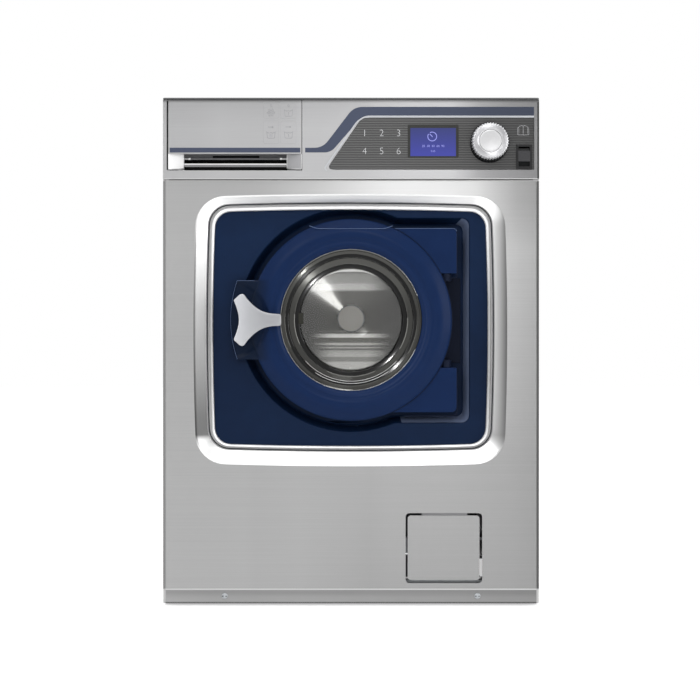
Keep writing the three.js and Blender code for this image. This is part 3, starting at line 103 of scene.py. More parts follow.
def boxUv(mesh):
    # a flat map for the grain's direction: along x, or along y on the sides
    layer = mesh.uv_layers.new(name="grain")
    points = readBack(mesh.vertices, "co", width=3)[readBack(mesh.loops, "vertex_index", np.int32)]
    normals = np.abs(readBack(mesh.polygons, "normal", width=3))
    facing = np.repeat(normals, readBack(mesh.polygons, "loop_total", np.int32), axis=0)
    sideways = facing[:, 0] > facing[:, 1:].max(axis=1)
    lying = facing[:, 2] > facing[:, :2].max(axis=1)
    u = np.where(sideways, points[:, 1], points[:, 0])
    v = np.where(lying, points[:, 1], points[:, 2])
    layer.data.foreach_set("uv", np.stack([u, v], axis=1).ravel())


def shownMesh(name, mesh, finish, smooth):
    # an object at the origin; edges sharper than smooth, in degrees, stay sharp
    boxUv(mesh)
    mesh.materials.clear()
    mesh.materials.append(finish)
    mesh.polygons.foreach_set("use_smooth", np.ones(len(mesh.polygons), bool))
    mesh.set_sharp_from_angle(angle=math.radians(smooth))
    obj = bpy.data.objects.new(name, mesh)
    bpy.context.collection.objects.link(obj)
    return obj


def makePiece(name, part, finish, body, smooth, hides=()):
    # a new piece from points in millimetres and faces; hides names the plain solids that it stands for
    points, faces = part
    mesh = bpy.data.meshes.new(name)
    mesh.from_pydata(toWorld(points).tolist(), [], [list(map(int, f)) for f in faces])
    cleaner = bmesh.new()
    cleaner.from_mesh(mesh)
    bmesh.ops.remove_doubles(cleaner, verts=cleaner.verts, dist=1e-6)
    bmesh.ops.dissolve_degenerate(cleaner, edges=cleaner.edges, dist=1e-7)
    bmesh.ops.recalc_face_normals(cleaner, faces=cleaner.faces)
    cleaner.to_mesh(mesh)
    cleaner.free()
    mesh.update()
    obj = shownMesh(name, mesh, finish, smooth)
    if body:
        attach(obj, body)
    if hides:
        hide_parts(*hides)
    return obj


def turned(profile, centre=(0, 0), sides=128):
    # a closed profile of [radius, y] carried round the y axis through centre (x, z)
    r, y = np.array(profile, float).T
    a = np.linspace(0, turn, sides, endpoint=False)[:, None]
    deep = np.broadcast_to(y, (sides, len(y)))
    points = np.stack([centre[0] + r * np.cos(a), deep, centre[1] + r * np.sin(a)], -1)
    return points.reshape(-1, 3), gridFaces(sides, len(r), True, True)


def rounded(corners, radius, steps=4, closed=True):
    # each corner of an outline gives way to a small curve that starts and ends radius away
    corners = np.array(corners, float)
    count = len(corners)
    out = []
    for i, here in enumerate(corners):
        if not closed and i in (0, count - 1):
            out.append(here)
            continue
        before, after = corners[i - 1], corners[(i + 1) % count]
        own = radius[i] if isinstance(radius, (list, tuple)) else radius
        toBefore, toAfter = before - here, after - here
        reach = min(own, np.linalg.norm(toBefore) / 2, np.linalg.norm(toAfter) / 2)
        p = here + toBefore / np.linalg.norm(toBefore) * reach
        q = here + toAfter / np.linalg.norm(toAfter) * reach
        t = np.linspace(0, 1, steps + 1)[:, None]
        out.extend((1 - t) ** 2 * p + 2 * t * (1 - t) * here + t ** 2 * q)
    return np.array(out)


def rectangle(x0, x1, z0, z1, corner, steps=4):
    # a rectangle's outline from x0 to x1 and z0 to z1 with rounded corners
    return rounded([(x0, z0), (x1, z0), (x1, z1), (x0, z1)], corner, steps)


def meshOfCurve(curve):
    # a filled curve or a text as plain points and faces
    holder = bpy.data.objects.new("outline", curve)
    bpy.context.collection.objects.link(holder)
    bpy.context.view_layer.update()
    mesh = bpy.data.meshes.new_from_object(holder.evaluated_get(bpy.context.evaluated_depsgraph_get()))
    points = readBack(mesh.vertices, "co", width=3)
    faces = [list(p.vertices) for p in mesh.polygons]
    bpy.data.objects.remove(holder)
    bpy.data.curves.remove(curve)
    bpy.data.meshes.remove(mesh)
    return points, faces


def flatPlate(outlines, y0, y1, edge=0.0, steps=3):
    # filled outlines in x and z, the first the rim and the rest holes, as thick as y0 to y1
    curve = bpy.data.curves.new("outline", "CURVE")
    curve.dimensions = "2D"
    curve.fill_mode = "BOTH"
    curve.extrude = (y1 - y0) / 2 - edge
    curve.bevel_depth = edge
    curve.bevel_resolution = steps if edge else 0
    curve.offset = -edge
    for outline in outlines:
        spline = curve.splines.new("POLY")
        spline.points.add(len(outline) - 1)
        flat = np.zeros((len(outline), 4))
        flat[:, :2] = np.asarray(outline)[:, :2]
        flat[:, 3] = 1
        spline.points.foreach_set("co", flat.ravel())
        spline.use_cyclic_u = True
    points, faces = meshOfCurve(curve)
    return np.stack([points[:, 0], (y0 + y1) / 2 + points[:, 2], points[:, 1]], -1), faces


def block(x0, x1, y0, y1, z0, z1):
    # eight corners and six sides
    points = [[x, y, z] for x in (x0, x1) for y in (y0, y1) for z in (z0, z1)]
    return points, [[0, 1, 3, 2], [4, 6, 7, 5], [0, 4, 5, 1], [2, 3, 7, 6], [0, 2, 6, 4], [1, 5, 7, 3]]


def tube(path, radius, sides=10, closed=False):
    # a round section carried along a path of points
    path = np.asarray(path, float)
    along = np.roll(path, -1, 0) - np.roll(path, 1, 0) if closed else np.gradient(path, axis=0)
    along /= np.linalg.norm(along, axis=1, keepdims=True)
    up = np.where(np.abs(along[:, 1:2]) > 0.9, [[1.0, 0, 0]], [[0, 1.0, 0]])
    across = np.cross(along, up)
    across /= np.linalg.norm(across, axis=1, keepdims=True)
    other = np.cross(along, across)
    a = np.linspace(0, turn, sides, endpoint=False)[None, :, None]
    points = path[:, None] + radius * (np.cos(a) * across[:, None] + np.sin(a) * other[:, None])
    faces = gridFaces(len(path), sides, closed, True).tolist()
    if not closed:
        last = (len(path) - 1) * sides
        faces += [list(range(sides)), list(range(last, last + sides))]
    return points.reshape(-1, 3), faces


def smoothStep(low, high, value):
    # 0 up to low and 1 from high on, with a level start and end: three t squared less two t cubed
    t = np.clip((value - low) / (high - low), 0, 1)
    return t * t * (3 - 2 * t)


def softEdges(obj, width, segments=2):
    # a bevel on every edge sharper than 40 degrees, its width in millimetres
    bevel = obj.modifiers.new("edge", "BEVEL")
    bevel.width = width * mm
    bevel.segments = segments
    bevel.limit_method = "ANGLE"
    bevel.angle_limit = math.radians(40)
    bevel.harden_normals = True


def dressed(node, finish, edge=0.5, smooth=30, name=None):
    # a copy of a solid with its flats made whole and its edges eased
    mesh = nodes[node].data.copy()
    cleaner = bmesh.new()
    cleaner.from_mesh(mesh)
    bmesh.ops.remove_doubles(cleaner, verts=cleaner.verts, dist=2e-6)
    bmesh.ops.dissolve_limit(
        cleaner, angle_limit=math.radians(0.6), verts=cleaner.verts, edges=cleaner.edges,
        use_dissolve_boundaries=False,
    )
    cleaner.to_mesh(mesh)
    cleaner.free()
    obj = shownMesh(name or node.replace("_", " ").title().replace(" ", "") + "Skin", mesh, finish, smooth)
    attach(obj, bodyOfNode[node])
    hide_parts(node)
    if edge:
        softEdges(obj, edge)
    return obj


# Finishes

reliefDeep = 0.0002
grain = {"along": 5, "across": 1500, "share": 0.03, "stretch": 0.97, "turned": 0.25, "rings": 900}


def linear(code, factor=1):
    # a written colour such as b4b3bb as linear red, green and blue, each times a factor
    parts = np.array([int(code[i:i + 2], 16) / 255 for i in (0, 2, 4)])
    light = np.where(parts <= 0.04045, parts / 12.92, ((parts + 0.055) / 1.055) ** 2.4)
    return [*np.minimum(light * factor, 1), 1]


def fill(owner, node, values):
    # each named input gets a fixed value, or a wire where the value is another node's output
    for key, value in values.items():
        if isinstance(value, bpy.types.NodeSocket):
            owner.node_tree.links.new(value, node.inputs[key])
        else:
            node.inputs[key].default_value = value


def addNode(owner, kind, values=None, **settings):
    # a shader node of a kind with its settings and the values of its inputs
    node = owner.node_tree.nodes.new("ShaderNode" + kind)
    for key, value in settings.items():
        setattr(node, key, value)
    fill(owner, node, values or {})
    return node


def feed(finish, values):
    # the same for the inputs of a finish's main shader
    fill(finish, finish.node_tree.nodes["Principled BSDF"], values)
    return finish


def newFinish(name, colour, metallic=0.0, roughness=0.5, specular=0.5, coat=0.0):
    # a material with one plain colour
    finish = bpy.data.materials.new(name)
    finish.use_nodes = True
    return feed(finish, {
        "Base Color": linear(colour), "Metallic": metallic, "Roughness": roughness,
        "Specular IOR Level": specular, "Coat Weight": coat, "Coat Roughness": 0.12,
    })


def glowing(finish, colour, strength):
    # the finish also gives off light of its own
    return feed(finish, {"Emission Color": linear(colour), "Emission Strength": strength})


def objectPlace(finish):
    # where a point lies on the piece, in metres
    return addNode(finish, "TexCoord").outputs["Object"]


def onAxis(finish, axis):
    # where a point lies along x, y or z, in metres
    return addNode(finish, "SeparateXYZ", {"Vector": objectPlace(finish)}).outputs[axis.upper()]


def between(finish, value, low, high, **settings):
    # 0 where the value is low or less and 1 where it is high or more, both in metres
    spread = {"Value": value, "From Min": low, "From Max": high}
    return addNode(finish, "MapRange", spread, **settings).outputs["Result"]


def colourRamp(finish, factor, stops):
    # colours that follow a factor, even between stops of (place from 0 to 1, colour)
    ramp = addNode(finish, "ValToRGB", {"Fac": factor})
    marks = ramp.color_ramp.elements
    marks.remove(marks[1])
    for at, (place, colour) in enumerate(stops):
        mark = marks.new(place) if at else marks[0]
        mark.position = place
        mark.color = colour
    return ramp.outputs["Color"]


def axisRamp(finish, axis, marks):
    # a grey that follows one axis of the piece's place: marks of (millimetres, level)
    low, high = marks[0][0], marks[-1][0]
    stops = [((at - low) / (high - low), (level, level, level, 1)) for at, level in marks]
    return colourRamp(finish, between(finish, onAxis(finish, axis), low * mm, high * mm), stops)


def multiplied(finish):
    # puts a multiply mix between the base colour's socket and what fed it
    base = finish.node_tree.nodes["Principled BSDF"].inputs["Base Color"]
    first = base.links[0].from_socket if base.links else base.default_value
    product = addNode(finish, "Mix", {"Factor": 1}, data_type="RGBA", blend_type="MULTIPLY")
    fill(finish, product, {"A": first})
    feed(finish, {"Base Color": product.outputs["Result"]})
    return product


def toned(finish, **axes):
    # the colour is multiplied by a factor that follows one or two axes
    for axis, marks in axes.items():
        fill(finish, multiplied(finish), {"B": axisRamp(finish, axis, marks)})
    return finish


def shaded(finish, factor, x, z):
    # the colour sinks to a factor, or to one for each of red, green and blue, in a soft patch: its weight is
    # the ramp along x times the ramp along z
    ramps = {0: axisRamp(finish, "x", x), 1: axisRamp(finish, "z", z)}
    weight = addNode(finish, "Math", ramps, operation="MULTIPLY").outputs["Value"]
    fill(finish, multiplied(finish), {"B": [*np.broadcast_to(factor, 3), 1], "Factor": weight})
    return finish


def mottled(name, colour, share, scale, gloss, metallic=0.0, bump=0.0, specular=0.5, coat=0.0):
    # a noise, as fine along each axis as scale says, moves the colour up and down by a share, the roughness
    # between the two of gloss, and the height by bump
    finish = newFinish(name, colour, metallic, gloss[0], specular, coat)
    size = scale if isinstance(scale, tuple) else (scale, scale, scale)
    place = addNode(finish, "Mapping", {"Vector": objectPlace(finish), "Scale": size}).outputs["Vector"]
    noise = addNode(finish, "TexNoise", {"Vector": place, "Scale": 1, "Detail": 3}).outputs["Fac"]
    rough = addNode(finish, "MapRange", {"Value": noise, "To Min": gloss[0], "To Max": gloss[1]})
    colours = [(0.3, linear(colour, 1 - share)), (0.7, linear(colour, 1 + share))]
    feed(finish, {"Base Color": colourRamp(finish, noise, colours), "Roughness": rough.outputs["Result"]})
    if bump:
        relief = addNode(finish, "Bump", {"Strength": bump, "Distance": reliefDeep, "Height": noise})
        feed(finish, {"Normal": relief.outputs["Normal"]})
    return finish


def brushed(name, colour, gloss=(0.27, 0.33), metallic=1.0):
    # fine level grain; the highlight is narrow along it and drawn out across it
    scale = (grain["along"], grain["across"], grain["across"])
    finish = mottled(name, colour, grain["share"], scale, gloss, metallic)
    tangent = addNode(finish, "Tangent", direction_type="UV_MAP", uv_map="grain").outputs["Tangent"]
    return feed(finish, {
        "Anisotropic": grain["stretch"], "Anisotropic Rotation": grain["turned"], "Tangent": tangent,
    })


def ringBrushed(name, colour, roughness, lean, centre=(0, doorZ)):
    # grain that runs round an axis: a noise of the distance from it, on a face that leans a little,
    # outwards where lean is above zero and inwards below it
    finish = newFinish(name, colour, 1.0, roughness)
    start = (-centre[0] * mm, 0, -centre[1] * mm)
    place = addNode(finish, "Mapping", {"Vector": objectPlace(finish), "Location": start}).outputs["Vector"]
    flat = addNode(finish, "VectorMath", {0: place, 1: (1, 0, 1)}, operation="MULTIPLY").outputs["Vector"]
    reach = addNode(finish, "VectorMath", {0: flat}, operation="LENGTH").outputs["Value"]
    noise = addNode(finish, "TexNoise", noise_dimensions="1D")
    fill(finish, noise, {"W": reach, "Scale": grain["rings"]})
    colours = [(0, linear(colour, 0.9)), (1, linear(colour, 1.1))]
    tangent = addNode(finish, "Tangent", direction_type="RADIAL", axis="Y").outputs["Tangent"]
    feed(finish, {
        "Anisotropic": 1, "Anisotropic Rotation": grain["turned"], "Tangent": tangent,
        "Base Color": colourRamp(finish, noise.outputs["Fac"], colours),
    })
    if lean:
        slope = addNode(finish, "Math", {0: reach, 1: -lean}, operation="MULTIPLY").outputs["Value"]
        relief = addNode(finish, "Bump", {"Distance": 1, "Height": slope})
        feed(finish, {"Normal": relief.outputs["Normal"]})
    return finish


# the front's sheet steel, toned over its width and height as the room's light falls on it
steel = toned(
    brushed("Steel front", "aaaaaa"),
    x=[(-300, 0.89), (-150, 0.89), (-80, 0.98), (60, 1), (190, 0.93), (300, 0.75)],
    z=[(0, 0.87), (420, 0.9), (560, 0.97), (680, 0.97)],
)
# painted shade: two soft patches darken the front, one low in the middle and one at the top right
shaded(
    steel, 0.7,
    x=[(-170, 0), (-130, 0.18), (-50, 0.6), (30, 1), (110, 1), (190, 0.88), (250, 0.53), (300, 0.35)],
    z=[(0, 1), (240, 0.9), (300, 0.5), (420, 0)],
)
shaded(steel, 0.78, x=[(200, 0), (262, 1), (300, 1)], z=[(560, 0), (640, 1), (680, 1)])
# painted light and shade on the pressed rim: bright along the bottom and top, dark down the sides, darkest on
# the left and at the right's outer edge
rimLeftPaintedLight = toned(
    newFinish("Pressed rim left, painted light and shade", "f0f0f0", 1.0, 0.3), x=[(-247, 1), (-226, 0.92), (-200, 1), (0, 1)],
    z=[(224, 0.95), (250, 1), (270, 0.08), (300, 0.09), (358, 0.13), (470, 0.2), (510, 0.26), (541, 0.32),
       (573, 0.45), (600, 0.7), (636, 0.94), (644, 0.92), (652, 0.7)],
)
rimRightPaintedLight = toned(
    newFinish("Pressed rim right, painted light and shade", "f0f0f0", 1.0, 0.3), x=[(0, 1), (200, 1), (222, 1), (246, 0.22)],
    z=[(224, 0.95), (250, 1), (270, 0.52), (300, 0.56), (358, 0.62), (480, 0.7), (600, 0.76), (632, 0.92),
       (644, 0.92), (652, 0.7)],
)
seamGrey = newFinish("Seam grey", "b0b0b1", 0.2, 0.4)
# painted light and shade on the fascia steel: lightest left of the middle, darker to the right, dark along
# the top edge
fasciaSteel = toned(
    brushed("Fascia steel", "a7a7a8", (0.3, 0.36), 0.95),
    x=[(-298, 0.94), (-245, 0.96), (-207, 1), (-128, 0.94), (-81, 0.93), (-20, 0.8), (14, 0.75), (160, 0.76),
       (204, 0.56), (250, 0.47), (298, 0.45)],
    z=[(672, 1), (755, 1), (783, 0.93), (795.4, 0.88), (797.6, 0.64), (799.2, 0.38), (801, 0.18)],
)
# painted shade on the plinth: darker towards the right and the top, with a dark line along its foot
plinthSteel = toned(
    brushed("Plinth steel", "939393"),
    x=[(-300, 1), (-207, 0.93), (-80, 0.92), (0, 0.82), (77, 0.76), (173, 0.74), (300, 0.73)],
    z=[(3, 0.4), (6.2, 0.42), (7, 1), (14, 0.94), (21, 0.78), (26, 0.8)],
)
# the side panels' front returns in two tones of painted light and shade: lit on the left, shaded on the right
returnLeftPaintedLight = newFinish("Left side return, painted light", "767676", 0.5, 0.45)
returnRightPaintedShade = newFinish("Right side return, painted shade", "4a4a4a", 0.5, 0.45)
# painted highlight: a light grey for the folded edges and the bezel's glints
foldAndGlintHighlight = newFinish("Painted highlight on folds and glints", "b4b4b4", 0.8, 0.35)
steelSide = brushed("Steel sides", "a6a6a6")
lipSteel = newFinish("Grey rail lip", "cfcfcf", 0.1, 0.4)
chrome = newFinish("Polished steel", "e6e6e6", 1.0, 0.12)
# painted shade on the trim: darker down its sides than at its top and bottom
satinTrim = toned(
    newFinish("Satin trim", "eeeeee", 0.4, 0.25),
    z=[(246, 1), (264, 1), (282, 0.66), (360, 0.45), (480, 0.5), (560, 0.8), (600, 1), (640, 1)],
)
zinc = mottled("Zinc plated sheet", "9ea1a4", 0.12, 60, (0.4, 0.55), 0.8)
lidPaint = mottled("Dark grey lid", "4a4b4c", 0.05, 300, (0.4, 0.5), bump=0.1)
# painted shade on the navy band: darker towards the right
navyBand = toned(
    newFinish("Navy band", "394053", 0.0, 0.45, 0.3), x=[(-290, 1), (60, 1), (190, 0.82), (290, 0.62)],
)
silverLine = newFinish("Silver line", "aaacb0", 0.5, 0.35)
blackPlastic = mottled("Black plastic", "1b1b1c", 0.1, 1200, (0.4, 0.55), bump=0.1, specular=0.2)
greyPlastic = newFinish("Grey plastic", "6e6e70")
whitePlastic = mottled("White plastic", "e4e4e4", 0.01, 900, (0.35, 0.45))
paleInk = newFinish("Pale ink", "bfc0c2")
bookInk = newFinish("Book ink", "a6a6a8")
greyInk = newFinish("Grey ink", "8a8a8d")
faintInk = newFinish("Faint ink", "98989a")
barShadeGrey = newFinish("Bar shade grey", "7c7c7e", 0.2, 0.4)
gripShadeGrey = newFinish("Grip shade grey", "555557")
cheekShade = newFinish("Cheek in painted shade", "98989a", 0.0, 0.45)
# painted light and shade on the navy over its height: darkest low round the door, lightest just below the top
navy = toned(
    mottled("Navy enamel", "0f213d", 0.05, 40, (0.38, 0.46), specular=0.08),
    z=[(246, 0.76), (288, 0.8), (400, 0.7), (480, 0.9), (580, 1), (636, 0.84)],
)
navyRing = mottled("Navy door enamel", "112345", 0.04, 40, (0.27, 0.34), specular=0.06)
# painted shade: the tab beside the ring darker and greyer round the handle
shaded(
    navyRing, (0.85, 0.6, 0.42), x=[(-200, 1), (-152, 1), (-126, 0)],
    z=[(386, 0), (391, 1), (514, 1), (519, 0)],
)
# painted light: a paler navy for the bay's walls
navyWallPaintedLight = newFinish("Navy bay wall in painted light", "5e6982", 0.0, 0.4, 0.2)
# painted highlight: a lighter navy for edges that catch light
navyEdge = newFinish("Navy lit edge", "46587a", 0.0, 0.3, 0.3)
navyShade = newFinish("Navy shade", "0a1224", 0.0, 0.5, 0.1)
# painted shade on the handle: lightest at its tips and darker towards the stem
handleLacquer = toned(
    mottled("Handle lacquer", "bebfc3", 0.015, 80, (0.27, 0.34), 0.35, specular=0.5, coat=0.2),
    x=[(-186, 1), (-174, 0.9), (-160, 0.74), (-140, 0.62), (-110, 0.56)],
)
pearl = mottled("Pearl knob", "c1c1c2", 0.01, 500, (0.28, 0.36), 0.85)
rubber = mottled("Grey rubber", "4a4b4c", 0.08, 400, (0.7, 0.85), bump=0.2)
rockerGrey = newFinish("Rocker grey", "3a3a3c", 0.0, 0.6, 0.15)
blackRubber = newFinish("Black rubber", "161616", 0.0, 0.8)
bezelSteel = ringBrushed("Bezel steel", "444442", 0.1, -0.088)
bezelDark = ringBrushed("Bezel dark", "282828", 0.125, -0.088)
# painted light: the hub gives off a faint light of its own so that it reads bright behind the glass
hubSteelGlowing = glowing(newFinish("Hub steel with painted glow", "f2f0ea", 0.0, 0.5, 0.3), "f2f0ea", 0.13)
castIron = mottled("Black cast iron", "2c2d2e", 0.2, 120, (0.6, 0.8), 0.2, bump=0.5)
alloy = mottled("Cast alloy", "a9abad", 0.08, 200, (0.45, 0.6), 0.9, bump=0.2)
motorPaint = mottled("Motor grey", "6d7074", 0.05, 100, (0.45, 0.6), 0.1)
# dark for gaps, slots and vents, and for the knob's painted shadow
darkGapAndShadow = newFinish("Dark gap and painted shadow", "0e0f10", 0.0, 0.8, 0.1)
clipShade = newFinish("Clip shade", "2a2a26", 0.0, 0.8, 0.1)
endShade = newFinish("Fascia end shade", "2c2c2c", 0.0, 0.5, 0.2)
frameGrey = newFinish("Display frame", "353534", 0.0, 0.5, 0.1)
screenInk = glowing(newFinish("Screen ink", "50508a", 0.0, 0.4), "9a9ee6", 0.7)


def ribbedFinish(pitch):
    # fine level ribs: the sine of height times a full turn over the pitch, which moves colour and height
    finish = newFinish("Ribbed charcoal", "5c5c5c", 0.0, 0.5, 0.4)
    phase = addNode(finish, "Math", {0: onAxis(finish, "z"), 1: turn / (pitch * mm)}, operation="MULTIPLY")
    ripple = addNode(finish, "Math", {0: phase.outputs["Value"]}, operation="SINE").outputs["Value"]
    relief = addNode(finish, "Bump", {"Strength": 0.6, "Distance": reliefDeep, "Height": ripple})
    colours = [(0, linear("393939")), (1, linear("5b5b5b"))]
    return feed(finish, {
        "Base Color": colourRamp(finish, ripple, colours), "Normal": relief.outputs["Normal"],
    })


def screenFinish(low, high):
    # a lit blue field, a little darker towards its top
    finish = newFinish("Lit display", "050510", 0.0, 0.35, 0.15)
    rise = between(finish, onAxis(finish, "z"), low * mm, high * mm)
    glow = colourRamp(finish, rise, [(0, linear("4d52b6")), (1, linear("434a86"))])
    return feed(finish, {"Emission Color": glow, "Emission Strength": 0.82})


def glassFinish():
    # clear glass that lets lamplight through to what is behind it
    finish = feed(newFinish("Clear glass", "f6f6f6", 0.0, 0.0), {"Transmission Weight": 1, "IOR": 1.12})
    nodesHere = finish.node_tree.nodes
    clear = addNode(finish, "BsdfTransparent", {"Color": (0.9, 0.9, 0.9, 1)})
    path = addNode(finish, "LightPath").outputs
    either = addNode(
        finish, "Math", {0: path["Is Shadow Ray"], 1: path["Is Diffuse Ray"]}, operation="MAXIMUM",
    )
    mix = addNode(finish, "MixShader", {
        "Fac": either.outputs["Value"], 1: nodesHere["Principled BSDF"].outputs["BSDF"],
        2: clear.outputs["BSDF"],
    })
    fill(finish, nodesHere["Material Output"], {"Surface": mix.outputs["Shader"]})
    return finish


# painted shade on the ribbed charcoal: darker towards the right
ribbed = toned(ribbedFinish(3.8), x=[(-60, 0.97), (60, 1), (190, 0.8), (290, 0.42)])
screen = screenFinish(711, 757)
glass = glassFinish()
print("finishes made")


# Cabinet front

# the slope round the door: from the outer rounded rectangle in the sheet down to the seam
press = {
    "middle": -1.1, "outerHalf": 245.3, "outerLow": 224.0, "outerHigh": 648.8, "outerCorner": 48.0,
    "seamHalf": 225.5, "seamLow": 246.9, "seamHigh": 636.2, "seamCorner": 34.0, "deep": 24.2, "bow": 3.0,
    "sheet": 1.5, "shelf": 11.2, "crease": 0.18, "wallShare": 0.95,
}
panel = {"half": 293.5, "low": 26.9, "high": 672.6, "corner": 1.5, "foldHalf": 286.7, "foldDeep": 12}
hatch = {"left": 86.4, "right": 207.6, "low": 36.1, "high": 146.9, "corner": 7.0}


def rectangleLoop(box, y, bow=0.0, corner=9, side=13):
    # a rounded rectangle: half width, low, high, corner radius, its sides swollen in the middle by bow
    half, low, high, radius = box
    tall, middle = (high - low) / 2, (high + low) / 2
    loop = []
    for quarter, (sx, sz) in enumerate([(1, 1), (-1, 1), (-1, -1), (1, -1)]):
        a = (quarter + np.linspace(0, 1, corner)) * math.pi / 2
        x, z = sx * (half - radius) + radius * np.cos(a), sz * (tall - radius) + radius * np.sin(a)
        loop.append(np.stack([x, z], -1))
        t = np.linspace(1, -1, side + 2)[1:-1]
        swell = bow * (1 - t ** 2)
        if quarter % 2 == 0:
            x, z = sx * t * (half - radius), np.full(side, sz * tall) + sz * swell
        else:
            x, z = np.full(side, sx * half) + sx * swell, sz * t * (tall - radius)
        loop.append(np.stack([x, z], -1))
    flat = np.concatenate(loop)
    return np.stack([press["middle"] + flat[:, 0], np.full(len(flat), float(y)), middle + flat[:, 1]], -1)


def pressBox(share, grow=0.0):
    # the rectangle a share of the way from the outer edge to the seam, made larger all round by grow
    outer = np.array([press["outerHalf"], press["outerLow"], press["outerHigh"], press["outerCorner"]])
    seam = np.array([press["seamHalf"], press["seamLow"], press["seamHigh"], press["seamCorner"]])
    return outer + (seam - outer) * share + np.array([grow, -grow, grow, grow])


def loopRing(loops, closed=True):
    # loops of equally many points joined one to the next
    return np.array(loops).reshape(-1, 3), gridFaces(len(loops), len(loops[0]), closed, True)


def pressDepth(share):
    # a rounded crease at the sheet, an even slope, then a short wall down to the seam
    along, crease, shelf = share / press["wallShare"], press["crease"], press["shelf"]
    slope = np.where(along < crease, along ** 2 / (2 * crease), along - crease / 2) / (1 - crease / 2) * shelf
    wall = shelf + (press["deep"] - shelf) * smoothStep(press["wallShare"], 1, share)
    return np.where(share <= press["wallShare"], slope, wall)


def frontPanelPart():
    # the flat sheet with its two openings, and the fold along its top
    rim = rectangle(-panel["half"], panel["half"], panel["low"], panel["high"], panel["corner"])
    opening = rounded(
        [(hatch["left"], hatch["low"]), (hatch["left"], hatch["high"]), (hatch["right"], hatch["high"]),
         (hatch["right"], hatch["low"])], hatch["corner"], 6,
    )
    hole = rectangleLoop(pressBox(0), 0, press["bow"])[::-1, ::2]
    sheet = flatPlate([rim, hole, opening], 0, press["sheet"])
    half, high = panel["foldHalf"], panel["high"]
    return joinParts([sheet, block(-half, half, 0.2, panel["foldDeep"], high - press["sheet"], high)])


def pressedRimPiece():
    # the slope as rectangles at growing depth and back again behind it; one finish on its left and one on its
    # right, both painted with light and shade, and a third on the wall, where the faces are steep
    shares = np.concatenate([np.linspace(0, press["wallShare"], 32), [0.955, 0.962, 0.97, 0.98, 0.99, 1]])
    outside = [rectangleLoop(pressBox(s), pressDepth(s), press["bow"]) for s in shares]
    inside = [
        rectangleLoop(pressBox(s, press["sheet"] * s), pressDepth(s) + press["sheet"], press["bow"])
        for s in shares[::-1]
    ]
    rim = makePiece("pressedRim", loopRing(outside + inside), rimLeftPaintedLight, "cabinet", 24)
    rim.data.materials.append(rimRightPaintedLight)
    rim.data.materials.append(seamGrey)
    wallStart = frontFace + (press["shelf"] + 0.1) * mm
    steep = 0.6
    sides = [
        2 if face.center.y > wallStart and abs(face.normal.y) < steep
        else int(face.center.x > press["middle"] * mm) for face in rim.data.polygons
    ]
    rim.data.polygons.foreach_set("material_index", sides)


makePiece("frontPanel", frontPanelPart(), steel, "cabinet", 50, ["front_panel"])
pressedRimPiece()

# a rounded rail: each section is (share of the way from the seam to the inner edge, depth)
surround = {
    "half": 215.7, "low": 254.5, "high": 625.1, "corner": 26.0, "gap": 1.3,
    "crown": [(0.38, 25.7), (0.38, 18.9), (0.42, 18.1), (0.5, 17.4), (0.62, 17.2), (0.84, 17.9), (0.93, 18.9),
              (0.98, 20.4), (1, 22), (1, 25.7)],
    "lip": [(0, 25.7), (0, 22.4), (0.04, 21.6), (0.36, 19.6), (0.37, 20.2), (0.37, 25.7)],
}


def railPart(section):
    # the section carried round: rectangles between the seam's and the inner one, each at its depth
    outer = pressBox(1, -surround["gap"])
    inner = np.array([surround["half"], surround["low"], surround["high"], surround["corner"]])
    return loopRing([rectangleLoop(outer + (inner - outer) * share, y, press["bow"]) for share, y in section])


makePiece("surroundLip", railPart(surround["lip"]), lipSteel, "cabinet", 40)
crown = railPart(surround["crown"])
makePiece("doorSurround", crown, satinTrim, "cabinet", 60, ["door_surround"])

recess = {
    "channel": 178.5, "right": 189.0, "high": 615.0, "low": 288.0, "corner": 12.0, "slope": 8.5,
    "plateau": 26.0, "floor": 54.0, "wall": 3.0, "mouth": 128.0, "lip": 2.0, "border": 3.0,
    "latchSlot": [(-164, 444.6), (-164, 460.6), (-143, 460.6), (-143, 444.6)],
    "bayRows": [(0.7, 27.4), (1.9, 30), (7.9, 50), (8.9, 53)], "bayPoints": 32,
}


def recessLoop(inset, y, arc=120, corner=7):
    # the round channel round the door, opening on the right into a bay with rounded corners
    radius = recess["channel"] - inset
    right, high, low = recess["right"] - inset, recess["high"] - inset, recess["low"] + inset
    c = recess["corner"]
    a = np.linspace(math.pi / 2, 0, corner)
    top = np.stack([right - c + c * np.cos(a), high - c + c * np.sin(a)], -1)
    a = np.linspace(0, -math.pi / 2, corner)
    bottom = np.stack([right - c + c * np.cos(a), low + c + c * np.sin(a)], -1)
    start = -math.asin((doorZ - low) / radius)
    end = -(turn - math.asin((high - doorZ) / radius))
    a = np.linspace(start, end, arc)
    circle = np.stack([radius * np.cos(a), doorZ + radius * np.sin(a)], -1)
    down = np.linspace(top[-1], bottom[0], 12)[1:-1]
    left = np.linspace(bottom[-1], circle[0], 10)[1:-1]
    back = np.linspace(circle[-1], top[0], 10)[1:-1]
    flat = np.concatenate([top, down, bottom, left, circle, back])[::-1]
    return np.stack([flat[:, 0], np.full(len(flat), float(y)), flat[:, 1]], -1)


